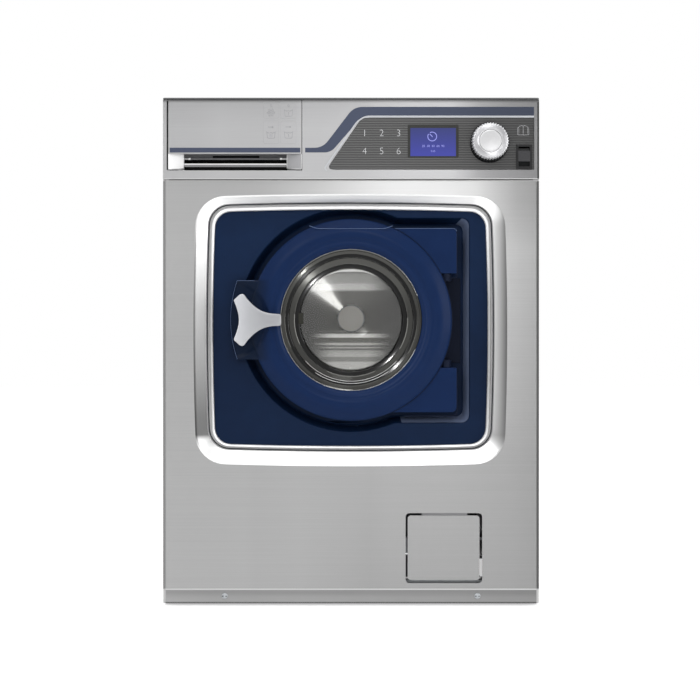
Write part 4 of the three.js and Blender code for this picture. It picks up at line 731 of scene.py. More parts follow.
def recessPart():
    # flat plateau, rounded lip, sloping wall and flat floor, one sheet with its back a wall behind
    plateau, floor, lip, wall = recess["plateau"], recess["floor"], recess["lip"], recess["wall"]
    slope, edge = recess["slope"], -recess["lip"] - recess["border"]
    face = [(edge, plateau), (-lip, plateau), (-lip * 0.35, plateau + lip * 0.12), (0, plateau + lip * 0.5),
            (0.5, plateau + 1.6 * lip), (slope - 0.7, floor - 3.2), (slope - 0.2, floor - 1.2),
            (slope + 1.2, floor - 0.2), (slope + 3, floor)]
    back = [(slope + 3, floor + wall), (slope - 3, floor + wall), (-3, plateau + 5), (-lip, plateau + wall),
            (edge, plateau + wall)]
    walls = loopRing([recessLoop(inset, y) for inset, y in face + back])
    outer = rectangleLoop(pressBox(1, 6), 0, 0)[:, ::2]
    top = flatPlate([outer, recessLoop(edge, 0)[::-1, ::2]], plateau, plateau + wall)
    a = np.linspace(0, -turn, 96, endpoint=False)
    mouth = np.stack([recess["mouth"] * np.cos(a), doorZ + recess["mouth"] * np.sin(a)], -1)
    openings = [recessLoop(slope + 3, 0)[:, ::2], mouth, recess["latchSlot"]]
    return joinParts([walls, top, flatPlate(openings, floor, floor + wall)])


def bayWallPart():
    # the bay's lower and right walls with their rounded corners, a skin a hair in front of the panel's own,
    # in a paler navy of painted light
    count = recess["bayPoints"]
    rows = [recessLoop(inset, y)[-count:] for inset, y in recess["bayRows"]]
    return np.array(rows).reshape(-1, 3), gridFaces(len(rows), count)


makePiece("recessPanel", recessPart(), navy, "cabinet", 40, ["recess_panel"])
makePiece("bayWall", bayWallPart(), navyWallPaintedLight, "cabinet", 60)
print("front pressing made")


# Door, worked out round its own centre

ring = {
    "outer": 160.3, "inner": 112.7, "crest": 4.0, "crestIn": 119.0, "crestOut": 138.0, "edge": 11.6,
    "back": 15.7, "ledgeHeight": 144.4, "ledgeDeep": 3.4, "scoopX": -194.0, "scoopRadius": 64.0,
    "scoopFloor": 12.0, "ledgeLift": 6.3, "chamfer": 3.4,
    "groove": 0.9, "grooveIn": (121.5, 124.5), "grooveOut": (127, 132), "roll": 1.8, "rollIn": 156.6,
    "ledgeEnds": (50, 75),
}


def ringFront(r, a):
    # depth of the ring's face: a chamfer by the window, a crown with two soft grooves, a fall to the edge,
    # a shelf cut off level at the top, and a round finger hollow on the left
    x, z = r * np.cos(a), r * np.sin(a)
    y = ring["crest"] + 0 * r
    y = y + ring["chamfer"] * (1 - smoothStep(ring["inner"], ring["crestIn"], r))
    fall = smoothStep(ring["crestOut"], ring["outer"] + 6, r)
    y = y + (ring["edge"] - ring["crest"]) * fall * 1.25
    y = y + ring["groove"] * (smoothStep(*ring["grooveIn"], r) - smoothStep(*ring["grooveOut"], r))
    y = y + ring["roll"] * smoothStep(ring["rollIn"], ring["outer"], r) ** 2
    height = z - ring["ledgeLift"] * smoothStep(*ring["ledgeEnds"], np.abs(x))
    y = y + ring["ledgeDeep"] * smoothStep(ring["ledgeHeight"] - 1.3, ring["ledgeHeight"] + 1.3, height)
    away = np.hypot(x - ring["scoopX"], z)
    hollow = 1 - smoothStep(ring["scoopRadius"] - 7, ring["scoopRadius"] + 2, away)
    y = y + (np.maximum(ring["scoopFloor"], y) - y) * hollow
    return np.minimum(y, ring["back"] - 0.5)


def circlePath(radius, y, angles):
    # points round the door's centre at one depth
    x, z = radius * np.cos(angles), doorZ + radius * np.sin(angles)
    return np.stack([x, np.broadcast_to(float(y), x.shape), z], -1)


def ringPart():
    # the face over radius and angle, closed by two circles at its back
    falling = np.linspace(ring["crestOut"], ring["outer"], 40)[1:]
    r = np.concatenate([np.linspace(ring["inner"], ring["crestOut"], 34), falling])
    a = np.linspace(0, turn, 420, endpoint=False)
    aa, rr = np.meshgrid(a, r, indexing="ij")
    face = np.stack([rr * np.cos(aa), ringFront(rr, aa), doorZ + rr * np.sin(aa)], -1)
    backs = [circlePath(ring[key], ring["back"], a)[:, None] for key in ("outer", "inner")]
    points = np.concatenate([face, *backs], axis=1)
    return points.reshape(-1, 3), gridFaces(len(a), len(r) + 2, True, True).tolist()


tab = {"outer": 192.0, "half": 62.9, "front": 14.0, "back": 22.0, "start": 147.0, "hollow": 2.6, "step": 1.2}


def tabPart():
    # a sector beside the ring, its face hollowed under the handle, its edges turned back
    count, across = 90, 30
    vv, uu = np.meshgrid(np.linspace(-1, 1, count), np.linspace(0, 1, across), indexing="ij")
    z = vv * tab["half"]
    outerX = -np.sqrt(tab["outer"] ** 2 - z ** 2)
    innerX = -np.sqrt(np.maximum(tab["start"] ** 2 - z ** 2, 0))
    x = innerX + (outerX - innerX) * uu
    away = np.hypot(x - ring["scoopX"], z)
    y = tab["front"] - tab["step"] * smoothStep(0.55, 0.2, uu)
    y = y + tab["hollow"] * (1 - smoothStep(ring["scoopRadius"] - 8, ring["scoopRadius"] + 1, away))
    edge = np.minimum((1 - np.abs(vv)) * tab["half"], np.abs(outerX) - np.abs(x))
    y = y + (1 - smoothStep(0, 1.6, edge)) ** 2
    face = np.stack([x, y, doorZ + z], -1)
    back = np.stack([x, np.full_like(x, tab["back"]), doorZ + z], -1)
    points = np.concatenate([face.reshape(-1, 3), back.reshape(-1, 3)])
    front = gridFaces(count, across)
    rear = gridFaces(count, across, start=count * across)
    index = np.arange(count * across).reshape(count, across)
    rimLoop = np.concatenate([index[0, :], index[1:, -1], index[-1, -2::-1], index[-2:0:-1, 0]])
    nextOne = np.roll(rimLoop, -1)
    sides = np.stack([rimLoop, nextOne, nextOne + count * across, rimLoop + count * across], -1)
    return points, front.tolist() + rear.tolist() + sides.tolist()


# two ears behind the tab carry the handle's pin
ears = [block(-163, -151, 21.7, 35, doorZ + low, doorZ + high) for low, high in ((-9.0, -6.0), (6.0, 9.0))]
makePiece("doorRing", joinParts([ringPart(), tabPart(), *ears]), navyRing, "door", 42, ["door_ring"])
softEdges(dressed("door_frame", navyRing, 0, 30, "doorInnerFrame"), 1.4, 3)

# painted highlights, thin light tubes on edges that catch light: the ledge, the upper arm's end, the tab's
# outer arc and its top
x = np.linspace(-66, 66, 41)
z = doorZ + ring["ledgeHeight"] + 0.4 + ring["ledgeLift"] * smoothStep(*ring["ledgeEnds"], np.abs(x))
ledge = np.stack([x, np.full(len(x), 7.7), z], -1)
tabArc = circlePath(191.4, 14.9, np.linspace(math.pi + 0.333, math.pi - 0.333, 40))
lit = [
    tube(ledge, 0.55, 8),
    tube([(70, 16, 598.1), (163, 16, 598.1), (166.4, 16.3, 597), (168, 16.6, 594)], 0.5, 8),
    tube(tabArc, 0.35, 6), tube([(-181, 14.9, doorZ + 62.4), (-150, 14.6, doorZ + 62.4)], 0.35, 6),
]
# painted shadow: dark lines where the ring and the two arms stand over the recess
shade = [tube(circlePath(161, 15.6, np.linspace(-1.16, 1.16, 90)), 0.6, 8)]
for path in (
    [(168.4, 17.2, 593), (168.5, 17.2, 522), (167, 17.2, 519.3), (150, 17.2, 519)],
    [(168.4, 17.2, 370), (168.5, 17.2, 306), (166.5, 17.2, 301.6), (162, 17.2, 299.8), (85, 17.2, 299.8)],
):
    shade.append(tube(path, 0.8, 8))
makePiece("ringShadow", joinParts(shade), navyShade, "door", 60)
makePiece("doorLitEdges", joinParts(lit), navyEdge, "door", 60)
# painted shade: the hinge bracket in the dark shade navy so that it sinks into the bay's shadow
dressed("hinge_bracket", navyShade, 0.5)
dressed("latch_hook", zinc, 0.5)
dressed("door_lock", blackPlastic, 0.6)

# turned rings round the window, each a profile of [radius, y]; the small slopes between the flats catch light
bezel = {
    "windowTrim": ([(104.6, 16), (104.6, 9.4), (105.3, 8.8), (109.4, 8.6), (110.2, 7.2), (111.6, 7.0),
                    (112.4, 8.4), (112.4, 16)], bezelSteel, "polished", ["window_trim"]),
    "windowSeal": ([(99.4, 16), (99.4, 10.2), (100.2, 9.6), (104.5, 9.9), (104.5, 16)],
                   bezelDark, "rubber", []),
    "windowStep": ([(89.4, 16), (89.4, 13.2), (90.6, 12.3), (98.2, 11.7), (99.2, 12.2), (99.2, 16)],
                   bezelSteel, "polished", []),
    "windowShade": ([(82.4, 16.1), (82.4, 15.4), (83.2, 14.9), (88.4, 14.5), (89.2, 14.8), (89.2, 16.1)],
                    bezelDark, "rubber", []),
}
for name, (profile, finish, slotName, hides) in bezel.items():
    makePiece(name, turned(profile, (0, doorZ), 192), finish, "door", 25, hides)
clip = block(-83.5, -75.6, 13.2, 13.6, doorZ - 6.3, doorZ + 10.6)  # a dark mark on the window's left
makePiece("windowClip", clip, clipShade, "door", 30)

# painted highlights as thin glints on the bezel: radius, depth, start and end in degrees, thickness
glints = [(97.4, 11.5, 222, 318, 0.4), (101, 9.7, 236, 306, 0.45), (111.9, 6.9, 20, 335, 0.25)]
arcs = [
    tube(circlePath(radius, y, np.radians(np.linspace(start, end, 80))), thick, 6)
    for radius, y, start, end, thick in glints
]
makePiece("bezelGlints", joinParts(arcs), foldAndGlintHighlight, "door", 60)

# a flanged dish: its section runs down the outside, rounds into the bottom and comes back inside
bowl = {
    "outside": [(111, 16.3), (111, 21.3), (98.5, 21.3), (85, 82), (0.01, 86)],
    "outsideRound": [0, 0.5, 5, 4, 0],
    "inside": [(0.01, 82), (83, 79), (95.5, 16.3), (111, 16.3)], "insideRound": [0, 3, 4, 0],
}
outside = rounded(bowl["outside"], bowl["outsideRound"], 6, closed=False)
inside = rounded(bowl["inside"], bowl["insideRound"], 6, closed=False)
bowlPart = turned(np.concatenate([outside, inside[:-1]]), (0, doorZ), 128)
makePiece("doorGlass", bowlPart, glass, "door", 50, ["door_glass"])

# the outline's upper half runs from the stem's end to the tip, then round the palm's hollow
handle = {
    "front": -8.0, "back": -1.0, "edge": 2.2, "pivotX": -122.0, "pivotY": 8.0, "boss": 4.5, "bossHalf": 8.0,
    "pin": 2.0, "pinHalf": 14.0,
    "upper": [(-110.1, 0), (-110.1, 9.6), (-126, 9.9), (-140.5, 13.6), (-152.8, 21.6), (-163.4, 32.6),
              (-168.4, 39.6), (-171.0, 41.4), (-175.6, 40.6), (-184.4, 32.4), (-185.2, 30.6), (-180.6, 19.0),
              (-177.8, 8.0), (-177.2, 0)],
    "corners": [0, 5, 12, 10, 9, 4, 3.2, 3.4, 3.6, 2.4, 2.4, 8, 6, 0],
}


def handlePart():
    # a plate from the outline and its mirror image, on a neck with a round boss and a pin across it
    upper = rounded(handle["upper"], handle["corners"], 6, closed=False)
    outline = np.concatenate([upper, upper[::-1][1:-1] * [1, -1]]) + [0, doorZ]
    plate = flatPlate([outline], handle["front"], handle["back"], handle["edge"], 5)
    x, y, half, sides = handle["pivotX"], handle["pivotY"], handle["bossHalf"], 24
    a = np.linspace(0, turn, sides, endpoint=False)
    section = np.stack([x + handle["boss"] * np.cos(a), y + handle["boss"] * np.sin(a)], -1)
    boss = np.concatenate([np.c_[section, np.full(sides, doorZ + s * half)] for s in (-1, 1)])
    ends = [list(range(sides)), list(range(sides, 2 * sides))]
    neck = block(x - handle["boss"], x + handle["boss"], -3, y, doorZ - half, doorZ + half)
    pin = tube([(x, y, doorZ - handle["pinHalf"]), (x, y, doorZ + handle["pinHalf"])], handle["pin"], 16)
    return joinParts([plate, (boss, gridFaces(2, sides, False, True).tolist() + ends), neck, pin])


makePiece("doorHandle", handlePart(), handleLacquer, "handle", 45, ["door_handle"])
print("door made")


# Gasket, tub and drum

# a thick folded sleeve: its section goes out along the folds and back inside them
gasket = {
    "outside": [(127.7, 50), (127.7, 60), (134.5, 66), (130, 72), (137.7, 79), (137.7, 92)],
    "inside": [(134.7, 92), (131.7, 82), (124, 76), (109, 72.5), (109, 68.5), (121, 67), (124.7, 60),
               (124.7, 50)],
}
outside = rounded(gasket["outside"], 2.5, 4, closed=False)
inside = rounded(gasket["inside"], 2.2, 4, closed=False)
sleeve = turned(np.concatenate([outside, inside]), (0, doorZ), 96)
gasketMesh = makePiece("doorGasket", sleeve, rubber, None, 60, ["door_gasket"])
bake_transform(gasketMesh)

# the side is an open cylinder with both walls, from the front face's roll to the rear wall; its holes stand
# in rows, so many round it and so far apart along it, in metres
drum = {
    "side": [(137, 105), (135, 105.3), (135, 109), (136.5, 111.2), (140, 111.5), (226, 111.5), (229.6, 113),
             (230.5, 117), (230.5, 448.5), (232, 448.5), (232, 115), (230.4, 111.4), (226, 110), (142, 110),
             (138.4, 109)],
    "rear": [(24.5, 448.5), (231, 448.5), (231, 450), (24.5, 450)],
    "hub": [(0.01, 443.9), (22.4, 443.9), (23.6, 444.4), (24, 445.6), (24, 450.2), (0.01, 450.2)],
    "holesRound": 110, "holePitch": 0.013,
}
# level bands across the rear wall, as heights from the axis, from the lowest up: pressed ribs drawn only in
# painted light and shade, bright where they catch the light and dark where they lose it
drumBandShading = [
    (-110, "6e6e6b"), (-97, "747471"), (-95, "b4b4b1"), (-79, "aeaeab"), (-77, "868683"), (-70.5, "868683"),
    (-68.5, "a8a8a5"), (-58, "9c9c99"), (-56.5, "6a6a68"), (-54.5, "6a6a68"), (-53.5, "a0a09d"),
    (-51.5, "a0a09d"), (-50.5, "60605e"), (-49, "60605e"), (-48, "a6a6a3"), (-44.5, "a6a6a3"),
    (-43, "6c6c6a"), (-35, "64645f"), (-34, "c4c4c1"), (-28, "b8b8b5"), (-26.5, "5c5c5a"), (-24, "5c5c5a"),
    (-23, "858582"),
    (-22, "585856"), (48, "5a5a58"), (53, "9c9c9a"), (62, "989896"), (64, "868684"), (80, "7c7c7a"),
    (83.5, "646462"), (86, "c4c4c2"), (110, "b8b8b6"),
]


def perforatedFinish():
    # small round holes: the distance to the nearest point of an even grid on the map "wrap"
    finish = newFinish("Perforated steel", "b4b4b0", 1.0, 0.3)
    where = addNode(finish, "UVMap", uv_map="wrap").outputs["UV"]
    grid = addNode(finish, "TexVoronoi", voronoi_dimensions="2D")
    fill(finish, grid, {"Vector": where, "Randomness": 0, "Scale": 1})
    holes = [(0.17, linear("1c1c1c")), (0.21, linear("b4b4b0"))]
    return feed(finish, {"Base Color": colourRamp(finish, grid.outputs["Distance"], holes)})


def wrapMap(mesh):
    # across, the angle round the drum in holes, on one side of the seam for each face; up, the depth in rows
    corner = readBack(mesh.loops, "vertex_index", np.int32)
    place = readBack(mesh.vertices, "co", width=3)[corner]
    count = drum["holesRound"]
    angle = (np.arctan2(place[:, 2] - doorZ * mm, place[:, 0]) / turn * count).reshape(-1, 4)
    split = angle.max(1, keepdims=True) - angle.min(1, keepdims=True) > count / 2
    angle = np.where(split & (angle < 0), angle + count, angle)
    depth = (place[:, 1] - frontFace) / drum["holePitch"]
    mesh.uv_layers.new(name="wrap").data.foreach_set("uv", np.stack([angle.ravel(), depth], 1).ravel())


def bandedFinish():
    # the bands' painted light and shade over height, fading to the plain wall at their ends, over the same
    # turned grain
    finish = ringBrushed("Banded drum steel", "5e5e5d", 0.1, -0.073)
    plain = finish.node_tree.nodes["Principled BSDF"].inputs["Base Color"].links[0].from_socket
    reach, brighter = drumBandShading[-1][0], 1.18
    height = between(finish, onAxis(finish, "z"), (doorZ - reach) * mm, (doorZ + reach) * mm)
    stops = [((z + reach) / (2 * reach), linear(tone, brighter)) for z, tone in drumBandShading]
    aside = addNode(finish, "Math", {0: onAxis(finish, "x")}, operation="ABSOLUTE").outputs["Value"]
    fade = between(finish, aside, 0.024, 0.08, interpolation_type="SMOOTHSTEP")
    blendIn = addNode(finish, "Mix", data_type="RGBA")
    fill(finish, blendIn, {"Factor": fade, "A": colourRamp(finish, height, stops), "B": plain})
    return feed(finish, {"Base Color": blendIn.outputs["Result"]})


drumShell = turned(drum["side"], (0, doorZ), 144)
drumSide = makePiece("drumSide", drumShell, perforatedFinish(), "drum", 40, ["drum_shell"])
wrapMap(drumSide.data)
makePiece("drumRearWall", turned(drum["rear"], (0, doorZ), 192), bandedFinish(), "drum", 40)

lifter = {"high": 44, "half": 32, "front": 128, "long": 304, "seat": 230.4}


def lifterPart(at):
    # a rounded vane along the drum's side, its ends sloping down to the wall
    tt, ss = np.meshgrid(np.linspace(0, 1, 40), np.linspace(-1, 1, 25), indexing="ij")
    taper = smoothStep(0, 0.09, tt) * (1 - smoothStep(0.91, 1, tt))
    height = lifter["high"] * taper * (1 - np.abs(ss) ** 2.4) ** 0.7
    across = ss * lifter["half"]
    y = lifter["front"] + tt * lifter["long"]
    radius = np.sqrt(lifter["seat"] ** 2 - across ** 2) - height
    a = -math.pi / 2 + at * turn / 3
    x = across * math.cos(a + math.pi / 2) + radius * math.cos(a)
    z = across * math.sin(a + math.pi / 2) + radius * math.sin(a)
    return np.stack([x, y, doorZ + z], -1).reshape(-1, 3), gridFaces(40, 25).tolist()


makePiece("drumLifters", joinParts([lifterPart(at) for at in range(3)]), steelSide, "drum", 40)
makePiece("drumHub", turned(drum["hub"], (0, doorZ), 96), hubSteelGlowing, "drum", 40)
for node, finish, edge in [
    ("outer_tub", steelSide, 0), ("tub_front_cover", steelSide, 0.6), ("counterweight", castIron, 0.6),
    ("drum_spider", alloy, 0.6), ("drum_pulley", alloy, 0.6), ("motor", motorPaint, 0.6),
    ("motor_rotor", zinc, 0.6), ("drum_bearing", chrome, 0.6), ("drive_belt", blackRubber, 0),
]:
    dressed(node, finish, edge)

spring = {"low": 555.9, "high": 756.7, "y": 300, "turns": 10, "radius": 11, "wire": 2}


def springPart(x):
    # a helix of wire with straight hooks at both ends
    low, high, y, radius = spring["low"], spring["high"], spring["y"], spring["radius"]
    t = np.linspace(0, 1, spring["turns"] * 24)
    a = t * spring["turns"] * turn
    coil = np.stack([x + radius * np.cos(a), y + radius * np.sin(a), low + 12 + (high - low - 24) * t], -1)
    start = np.array([(x, y, low + 1), (x, y, low + 6), (x + 7, y, low + 9)])
    end = np.array([(x + 7, y, high - 9), (x, y, high - 6), (x, y, high - 1)])
    return tube(np.concatenate([start, coil, end]), spring["wire"], 8)


for side, x in (("left", -270), ("right", 270)):
    made = makePiece("spring" + side.title(), springPart(x), zinc, None, 60, ["spring_" + side])
    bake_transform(made)
for side, x in (("left", -205), ("right", 205)):
    made = dressed("damper_" + side, blackPlastic, 0)
    made.parent = None
    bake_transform(made)
hoseSkin = dressed("dispenser_hose", rubber, 0)
hoseSkin.parent = None
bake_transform(hoseSkin)
print("tub and drum made")


# Cabinet panels, base and fittings

for node, finish, edge in [
    ("left_side_panel", steelSide, 0.6), ("right_side_panel", steelSide, 0.6), ("rear_panel", zinc, 0.5),
    ("top_panel", lidPaint, 0.8), ("plinth_strip", plinthSteel, 0.5), ("base_frame", zinc, 0.6),
    ("dispenser_housing", blackPlastic, 0.5), ("drawer_tray", whitePlastic, 0.6),
    ("inlet_valve", whitePlastic, 0.6), ("mains_gland", blackPlastic, 0.5), ("drain_pump", whitePlastic, 0.8),
    ("filter_cap", whitePlastic, 0.8), ("service_hatch", steel, 0.9), ("fascia", fasciaSteel, 0.8),
    ("display_module", blackPlastic, 0.2), ("rocker_housing", blackPlastic, 0.5),
    ("power_rocker", blackPlastic, 0.5), ("foot_front_left", blackRubber, 0.6),
    ("foot_front_right", blackRubber, 0.6), ("foot_rear_left", blackRubber, 0.6),
    ("foot_rear_right", blackRubber, 0.6), ("drawer_front", fasciaSteel, 0.5), ("fascia_inlay", ribbed, 0.25),
]:
    dressed(node, finish, edge)

# folds, returns and gaps as thin strips: x from and to, y from and to, z from and to; the folds are a painted
# highlight, the returns painted light on the left and shade on the right, and the fascia's right end painted
# shade
trims = {
    "returnLeftPaintedLight": ((-297.4, -293.7, -0.25, 0.1, 27.5, 672), returnLeftPaintedLight, "stainless"),
    "returnRightPaintedShade": ((293.7, 297.4, -0.25, 0.1, 27.5, 672), returnRightPaintedShade, "stainless"),
    "fasciaEndRight": ((294.6, 297.3, -3.2, -2.9, 676, 797), endShade, "stainless"),
    "panelFold": ((-293.3, 293.3, -0.35, 1.2, 25.5, 27.5), foldAndGlintHighlight, "stainless"),
    "panelTopFold": ((-293.3, 293.3, 0.1, 1.2, 672.4, 673.5), foldAndGlintHighlight, "stainless"),
    "fasciaFold": ((-297.2, 297.2, -3.15, -2.9, 675.2, 676.6), foldAndGlintHighlight, "stainless"),
    "drawerGap": ((-291.4, -289.5, -3.15, -2.9, 690, 798.5), darkGapAndShadow, "black"),
    "hatchRebate": ((112, 184, 0.6, 1.4, 143.3, 146.8), greyPlastic, "stainless"),
}
for name, (size, finish, slotName) in trims.items():
    makePiece(name, block(*size), finish, "cabinet", 30)
for at in range(1, 7):
    dressed(f"key_{at}", ribbed, 0.1)

screws = {
    "x": 200.0, "z": 15.9, "radius": 4.7, "face": -0.8, "rise": 2.0, "shank": 2.2, "end": 8.2,
    "slotHalf": 4.0, "slotThin": 0.55,
}
for side, name in ((-1, "left"), (1, "right")):
    x, z, face = side * screws["x"], screws["z"], screws["face"]
    a = np.linspace(math.pi / 2, 0, 8)
    radii, heights = np.maximum(screws["radius"] * np.cos(a), 0.01), face - screws["rise"] * np.sin(a)
    head = turned([(0.01, face), *zip(radii, heights), (screws["radius"], face)], (x, z), 40)
    shaft = [(0.01, face - 0.1), (screws["shank"], face - 0.1), (screws["shank"], screws["end"]),
             (0.01, screws["end"])]
    screw = joinParts([head, turned(shaft, (x, z), 16)])
    makePiece("plinthScrew" + name.title(), screw, zinc, "cabinet", 60, ["plinth_screw_" + name])
    half, thin = screws["slotHalf"], screws["slotThin"]
    slot = block(x - half, x + half, face - 1.9, face - 0.4, z - thin, z + thin)
    makePiece("screwSlot" + name.title(), slot, darkGapAndShadow, "cabinet", 30)
print("cabinet made")


# Fascia: bands, inlay, display, keys, knob, rocker

fasciaFace = -3.0
inlayFace = -3.2

# the navy band runs low beside the drawer, climbs on a slant and goes on high over the controls; the silver
# line keeps below it and narrows towards its lower end
band = {
    "proud": 0.12, "sunk": 0.05,
    "outline": [(-72.5, 724.8), (-44.6, 724.8), (4.7, 789.5), (289.4, 789.5), (289.4, 775.7), (18.8, 775.7),
                (-32.1, 717.4), (-72.5, 717.4)],
    "corners": [0.1, 14, 14, 0.6, 0.6, 10, 10, 0.1],
    "line": [(289.2, 774.0), (15.2, 774.0), (-41.8, 692.5), (-38.5, 688.8)], "lineCorners": [0.1, 16, 3, 0.1],
    "lineWidths": (2.9, 1.6), "lineProud": 0.16, "drawer": (-286.7, -80.2, 717.3, 724.9), "drawerCorner": 0.4,
}


def strip(centreLine, width):
    # a flat band along a path: its two edges are the path moved half the width to either side
    line = np.asarray(centreLine, float)
    along = np.gradient(line, axis=0)
    along /= np.linalg.norm(along, axis=1, keepdims=True)
    across = np.stack([-along[:, 1], along[:, 0]], -1)
    half = np.broadcast_to(np.asarray(width, float).reshape(-1, 1) / 2, (len(line), 1))
    return np.concatenate([line + across * half, (line - across * half)[::-1]])


outline = rounded(band["outline"], band["corners"], 7)
plate = flatPlate([outline], fasciaFace - band["proud"], fasciaFace + band["sunk"])
makePiece("fasciaBand", plate, navyBand, "cabinet", 30)
line = rounded(band["line"], band["lineCorners"], 8, closed=False)
outline = strip(line, np.linspace(*band["lineWidths"], len(line)))
plate = flatPlate([outline], fasciaFace - band["lineProud"], fasciaFace + band["sunk"])
makePiece("inlayLine", plate, silverLine, "cabinet", 30)

# frame, opening and glass as x from and to, z from and to; the icon is a dial with a hand
display = {
    "frame": (89.7, 170.1, 709.1, 761.2), "opening": (93.9, 165.8, 711.6, 756.1),
    "glass": (93.7, 166.0, 711.4, 756.3), "face": -2.75, "iconLine": 1.2, "icon": (128.4, 742.6),
    "iconRadius": 7.0,
    "hand": [(129.0, 742.0), (124.4, 746.8)], "iconDepths": (-2.95, -2.7),
}
outlines = [rectangle(*display["frame"], 1.5, 3), rectangle(*display["opening"], 0.6, 3)[::-1]]
plate = flatPlate(outlines, inlayFace - 0.3, inlayFace + 0.05)
makePiece("displayFrame", plate, frameGrey, "cabinet", 30)
plate = flatPlate([rectangle(*display["glass"], 0.6, 3)], display["face"], display["face"] + 0.2)
makePiece("displayScreen", plate, screen, "cabinet", 30)

a = np.radians(np.linspace(120, -215, 28))
dial = np.stack([np.cos(a), np.sin(a)], -1) * display["iconRadius"] + display["icon"]
icon = [
    flatPlate([strip(path, display["iconLine"])], *display["iconDepths"]) for path in (dial, display["hand"])
]
makePiece("timerIcon", joinParts(icon), screenInk, "cabinet", 30)


letters = {"sizeForHeight": 1.37, "halfDeep": 0.06, "gap": 0.02}


def lettering(name, text, x, z, height, face, finish, body, thin):
    # plain figures as a thin flat mesh standing a small gap proud of a face
    curve = bpy.data.curves.new(name, "FONT")
    curve.body = text
    curve.size = height * letters["sizeForHeight"]
    curve.align_x = "CENTER"
    curve.align_y = "CENTER"
    curve.extrude = letters["halfDeep"]
    curve.offset = -thin
    curve.resolution_u = 6
    points, faces = meshOfCurve(curve)
    y = face - letters["gap"] - letters["halfDeep"] - points[:, 2]
    points = np.stack([x + points[:, 0], y, z + points[:, 1]], -1)
    makePiece(name, (points, faces), finish, body, 30)


numbers = {"xs": (21.5, 48.4, 75.3), "zs": (747.6, 719.2), "height": 11.4, "thin": 0.35}
for at in range(6):
    x, z = numbers["xs"][at % 3], numbers["zs"][at // 3]
    lettering(
        f"number{at + 1}", str(at + 1), x, z, numbers["height"], inlayFace, paleInk, f"number_key_{at + 1}",
        numbers["thin"],
    )
# text, height of its middle, height of its figures
screenTexts = {"screenNumbers": ("20  30  40  60  90", 727.4, 3.6), "screenTime": ("0:45", 719.4, 3.0)}
for name, (text, z, height) in screenTexts.items():
    lettering(name, text, 129.8, z, height, display["face"], screenInk, "cabinet", 0.0)

# an open book: its outline, its lower edge, its spine and two margins
book = {
    "thick": 0.3,
    "lines": [
        [(263.2, 745.4), (263.2, 755.2), (266, 758.4), (269.6, 760), (272.1, 758.8), (274.6, 760),
         (278.2, 758.4), (281, 755.2), (281, 745.4)],
        [(263.2, 745.4), (272.1, 744.9), (281, 745.4)], [(272.1, 744.9), (272.1, 758.8)],
        [(265.2, 747.2), (265.2, 756)], [(279, 747.2), (279, 756)],
    ],
}


def bookLinePart(path):
    # a thin tube along the line, with eight even steps to each of its straights
    path = np.array(path)
    steps = [np.linspace(path[i], path[i + 1], 8, endpoint=False) for i in range(len(path) - 1)]
    fine = np.concatenate([*steps, path[-1:]])
    return tube(np.c_[fine[:, 0], np.full(len(fine), inlayFace - 0.1), fine[:, 1]], book["thick"], 6)


parts = [bookLinePart(path) for path in book["lines"]]
makePiece("bookIcon", joinParts(parts), bookInk, "cabinet", 60)

# the thin web between each key and the field round it
web = {
    "zs": (749.3, 720), "halfWide": 11.6, "halfTall": 12.6, "thick": 0.7, "corner": 0.8,
    "depths": (-3.12, -2.9),
}


def keyWebPart(x, z):
    # a rectangle with another one in it that is smaller all round by the web's thickness
    outlines = [
        rectangle(x - web["halfWide"] + inset, x + web["halfWide"] - inset, z - web["halfTall"] + inset,
                  z + web["halfTall"] - inset, web["corner"], 3) for inset in (0, web["thick"])
    ]
    return flatPlate([outlines[0], outlines[1][::-1]], *web["depths"])


parts = [keyWebPart(x, z) for z in web["zs"] for x in numbers["xs"]]
makePiece("keyWeb", joinParts(parts), ribbed, "cabinet", 30)

# the knob's profile is (radius, y, share of the lobes' depth); the skirt's is (radius, y)
knob = {
    "x": 219.3, "z": 734.3, "radius": 29.5, "lobes": 40, "bite": 0.8, "skirtBite": 0.7,
    "profile": [(3.3, -13, 0), (3.3, -5, 0), (27.5, -5, 0.3), (29.0, -5.6, 1), (29.5, -7, 1),
                (29.2, -20.5, 1), (28.6, -22.8, 0.8), (27.2, -24.3, 0.3), (25.4, -25, 0), (21.2, -25, 0),
                (19.6, -24.6, 0), (18.7, -23.6, 0), (18.3, -22, 0), (18.3, -13, 0)],
    "lip": [(18.1, -20), (18.1, -24), (18.6, -24.3), (19.4, -24.2), (19.4, -20)],
    "skirt": [(24, -8), (24, -4.4), (30.4, -4.4), (31.2, -5), (31.2, -9.5), (30.4, -10.2), (27, -8)],
    "button": [(0.01, -23.4), (12, -23.5), (15.8, -23.9), (16.8, -23.9), (17.6, -23.4), (18, -22.6),
               (18, -17), (0.01, -17)],
    "shade": [(24, -3.25), (30, -3.25), (30, -3.1), (24, -3.1)], "shadeMove": (-0.9, -3.4),
}
knobAxis = (knob["x"], knob["z"])


def lobedPart(r, y, depth, sides):
    # a profile carried round the knob's axis, its radius less depth times one minus the cosine of the
    # angle times the number of lobes
    a = np.linspace(0, turn, sides, endpoint=False)[:, None]
    r = r - depth * (1 - np.cos(a * knob["lobes"]))
    points = np.stack([knob["x"] + r * np.cos(a), np.broadcast_to(y, r.shape), knob["z"] + r * np.sin(a)], -1)
    return points.reshape(-1, 3), gridFaces(sides, len(y), True, True)


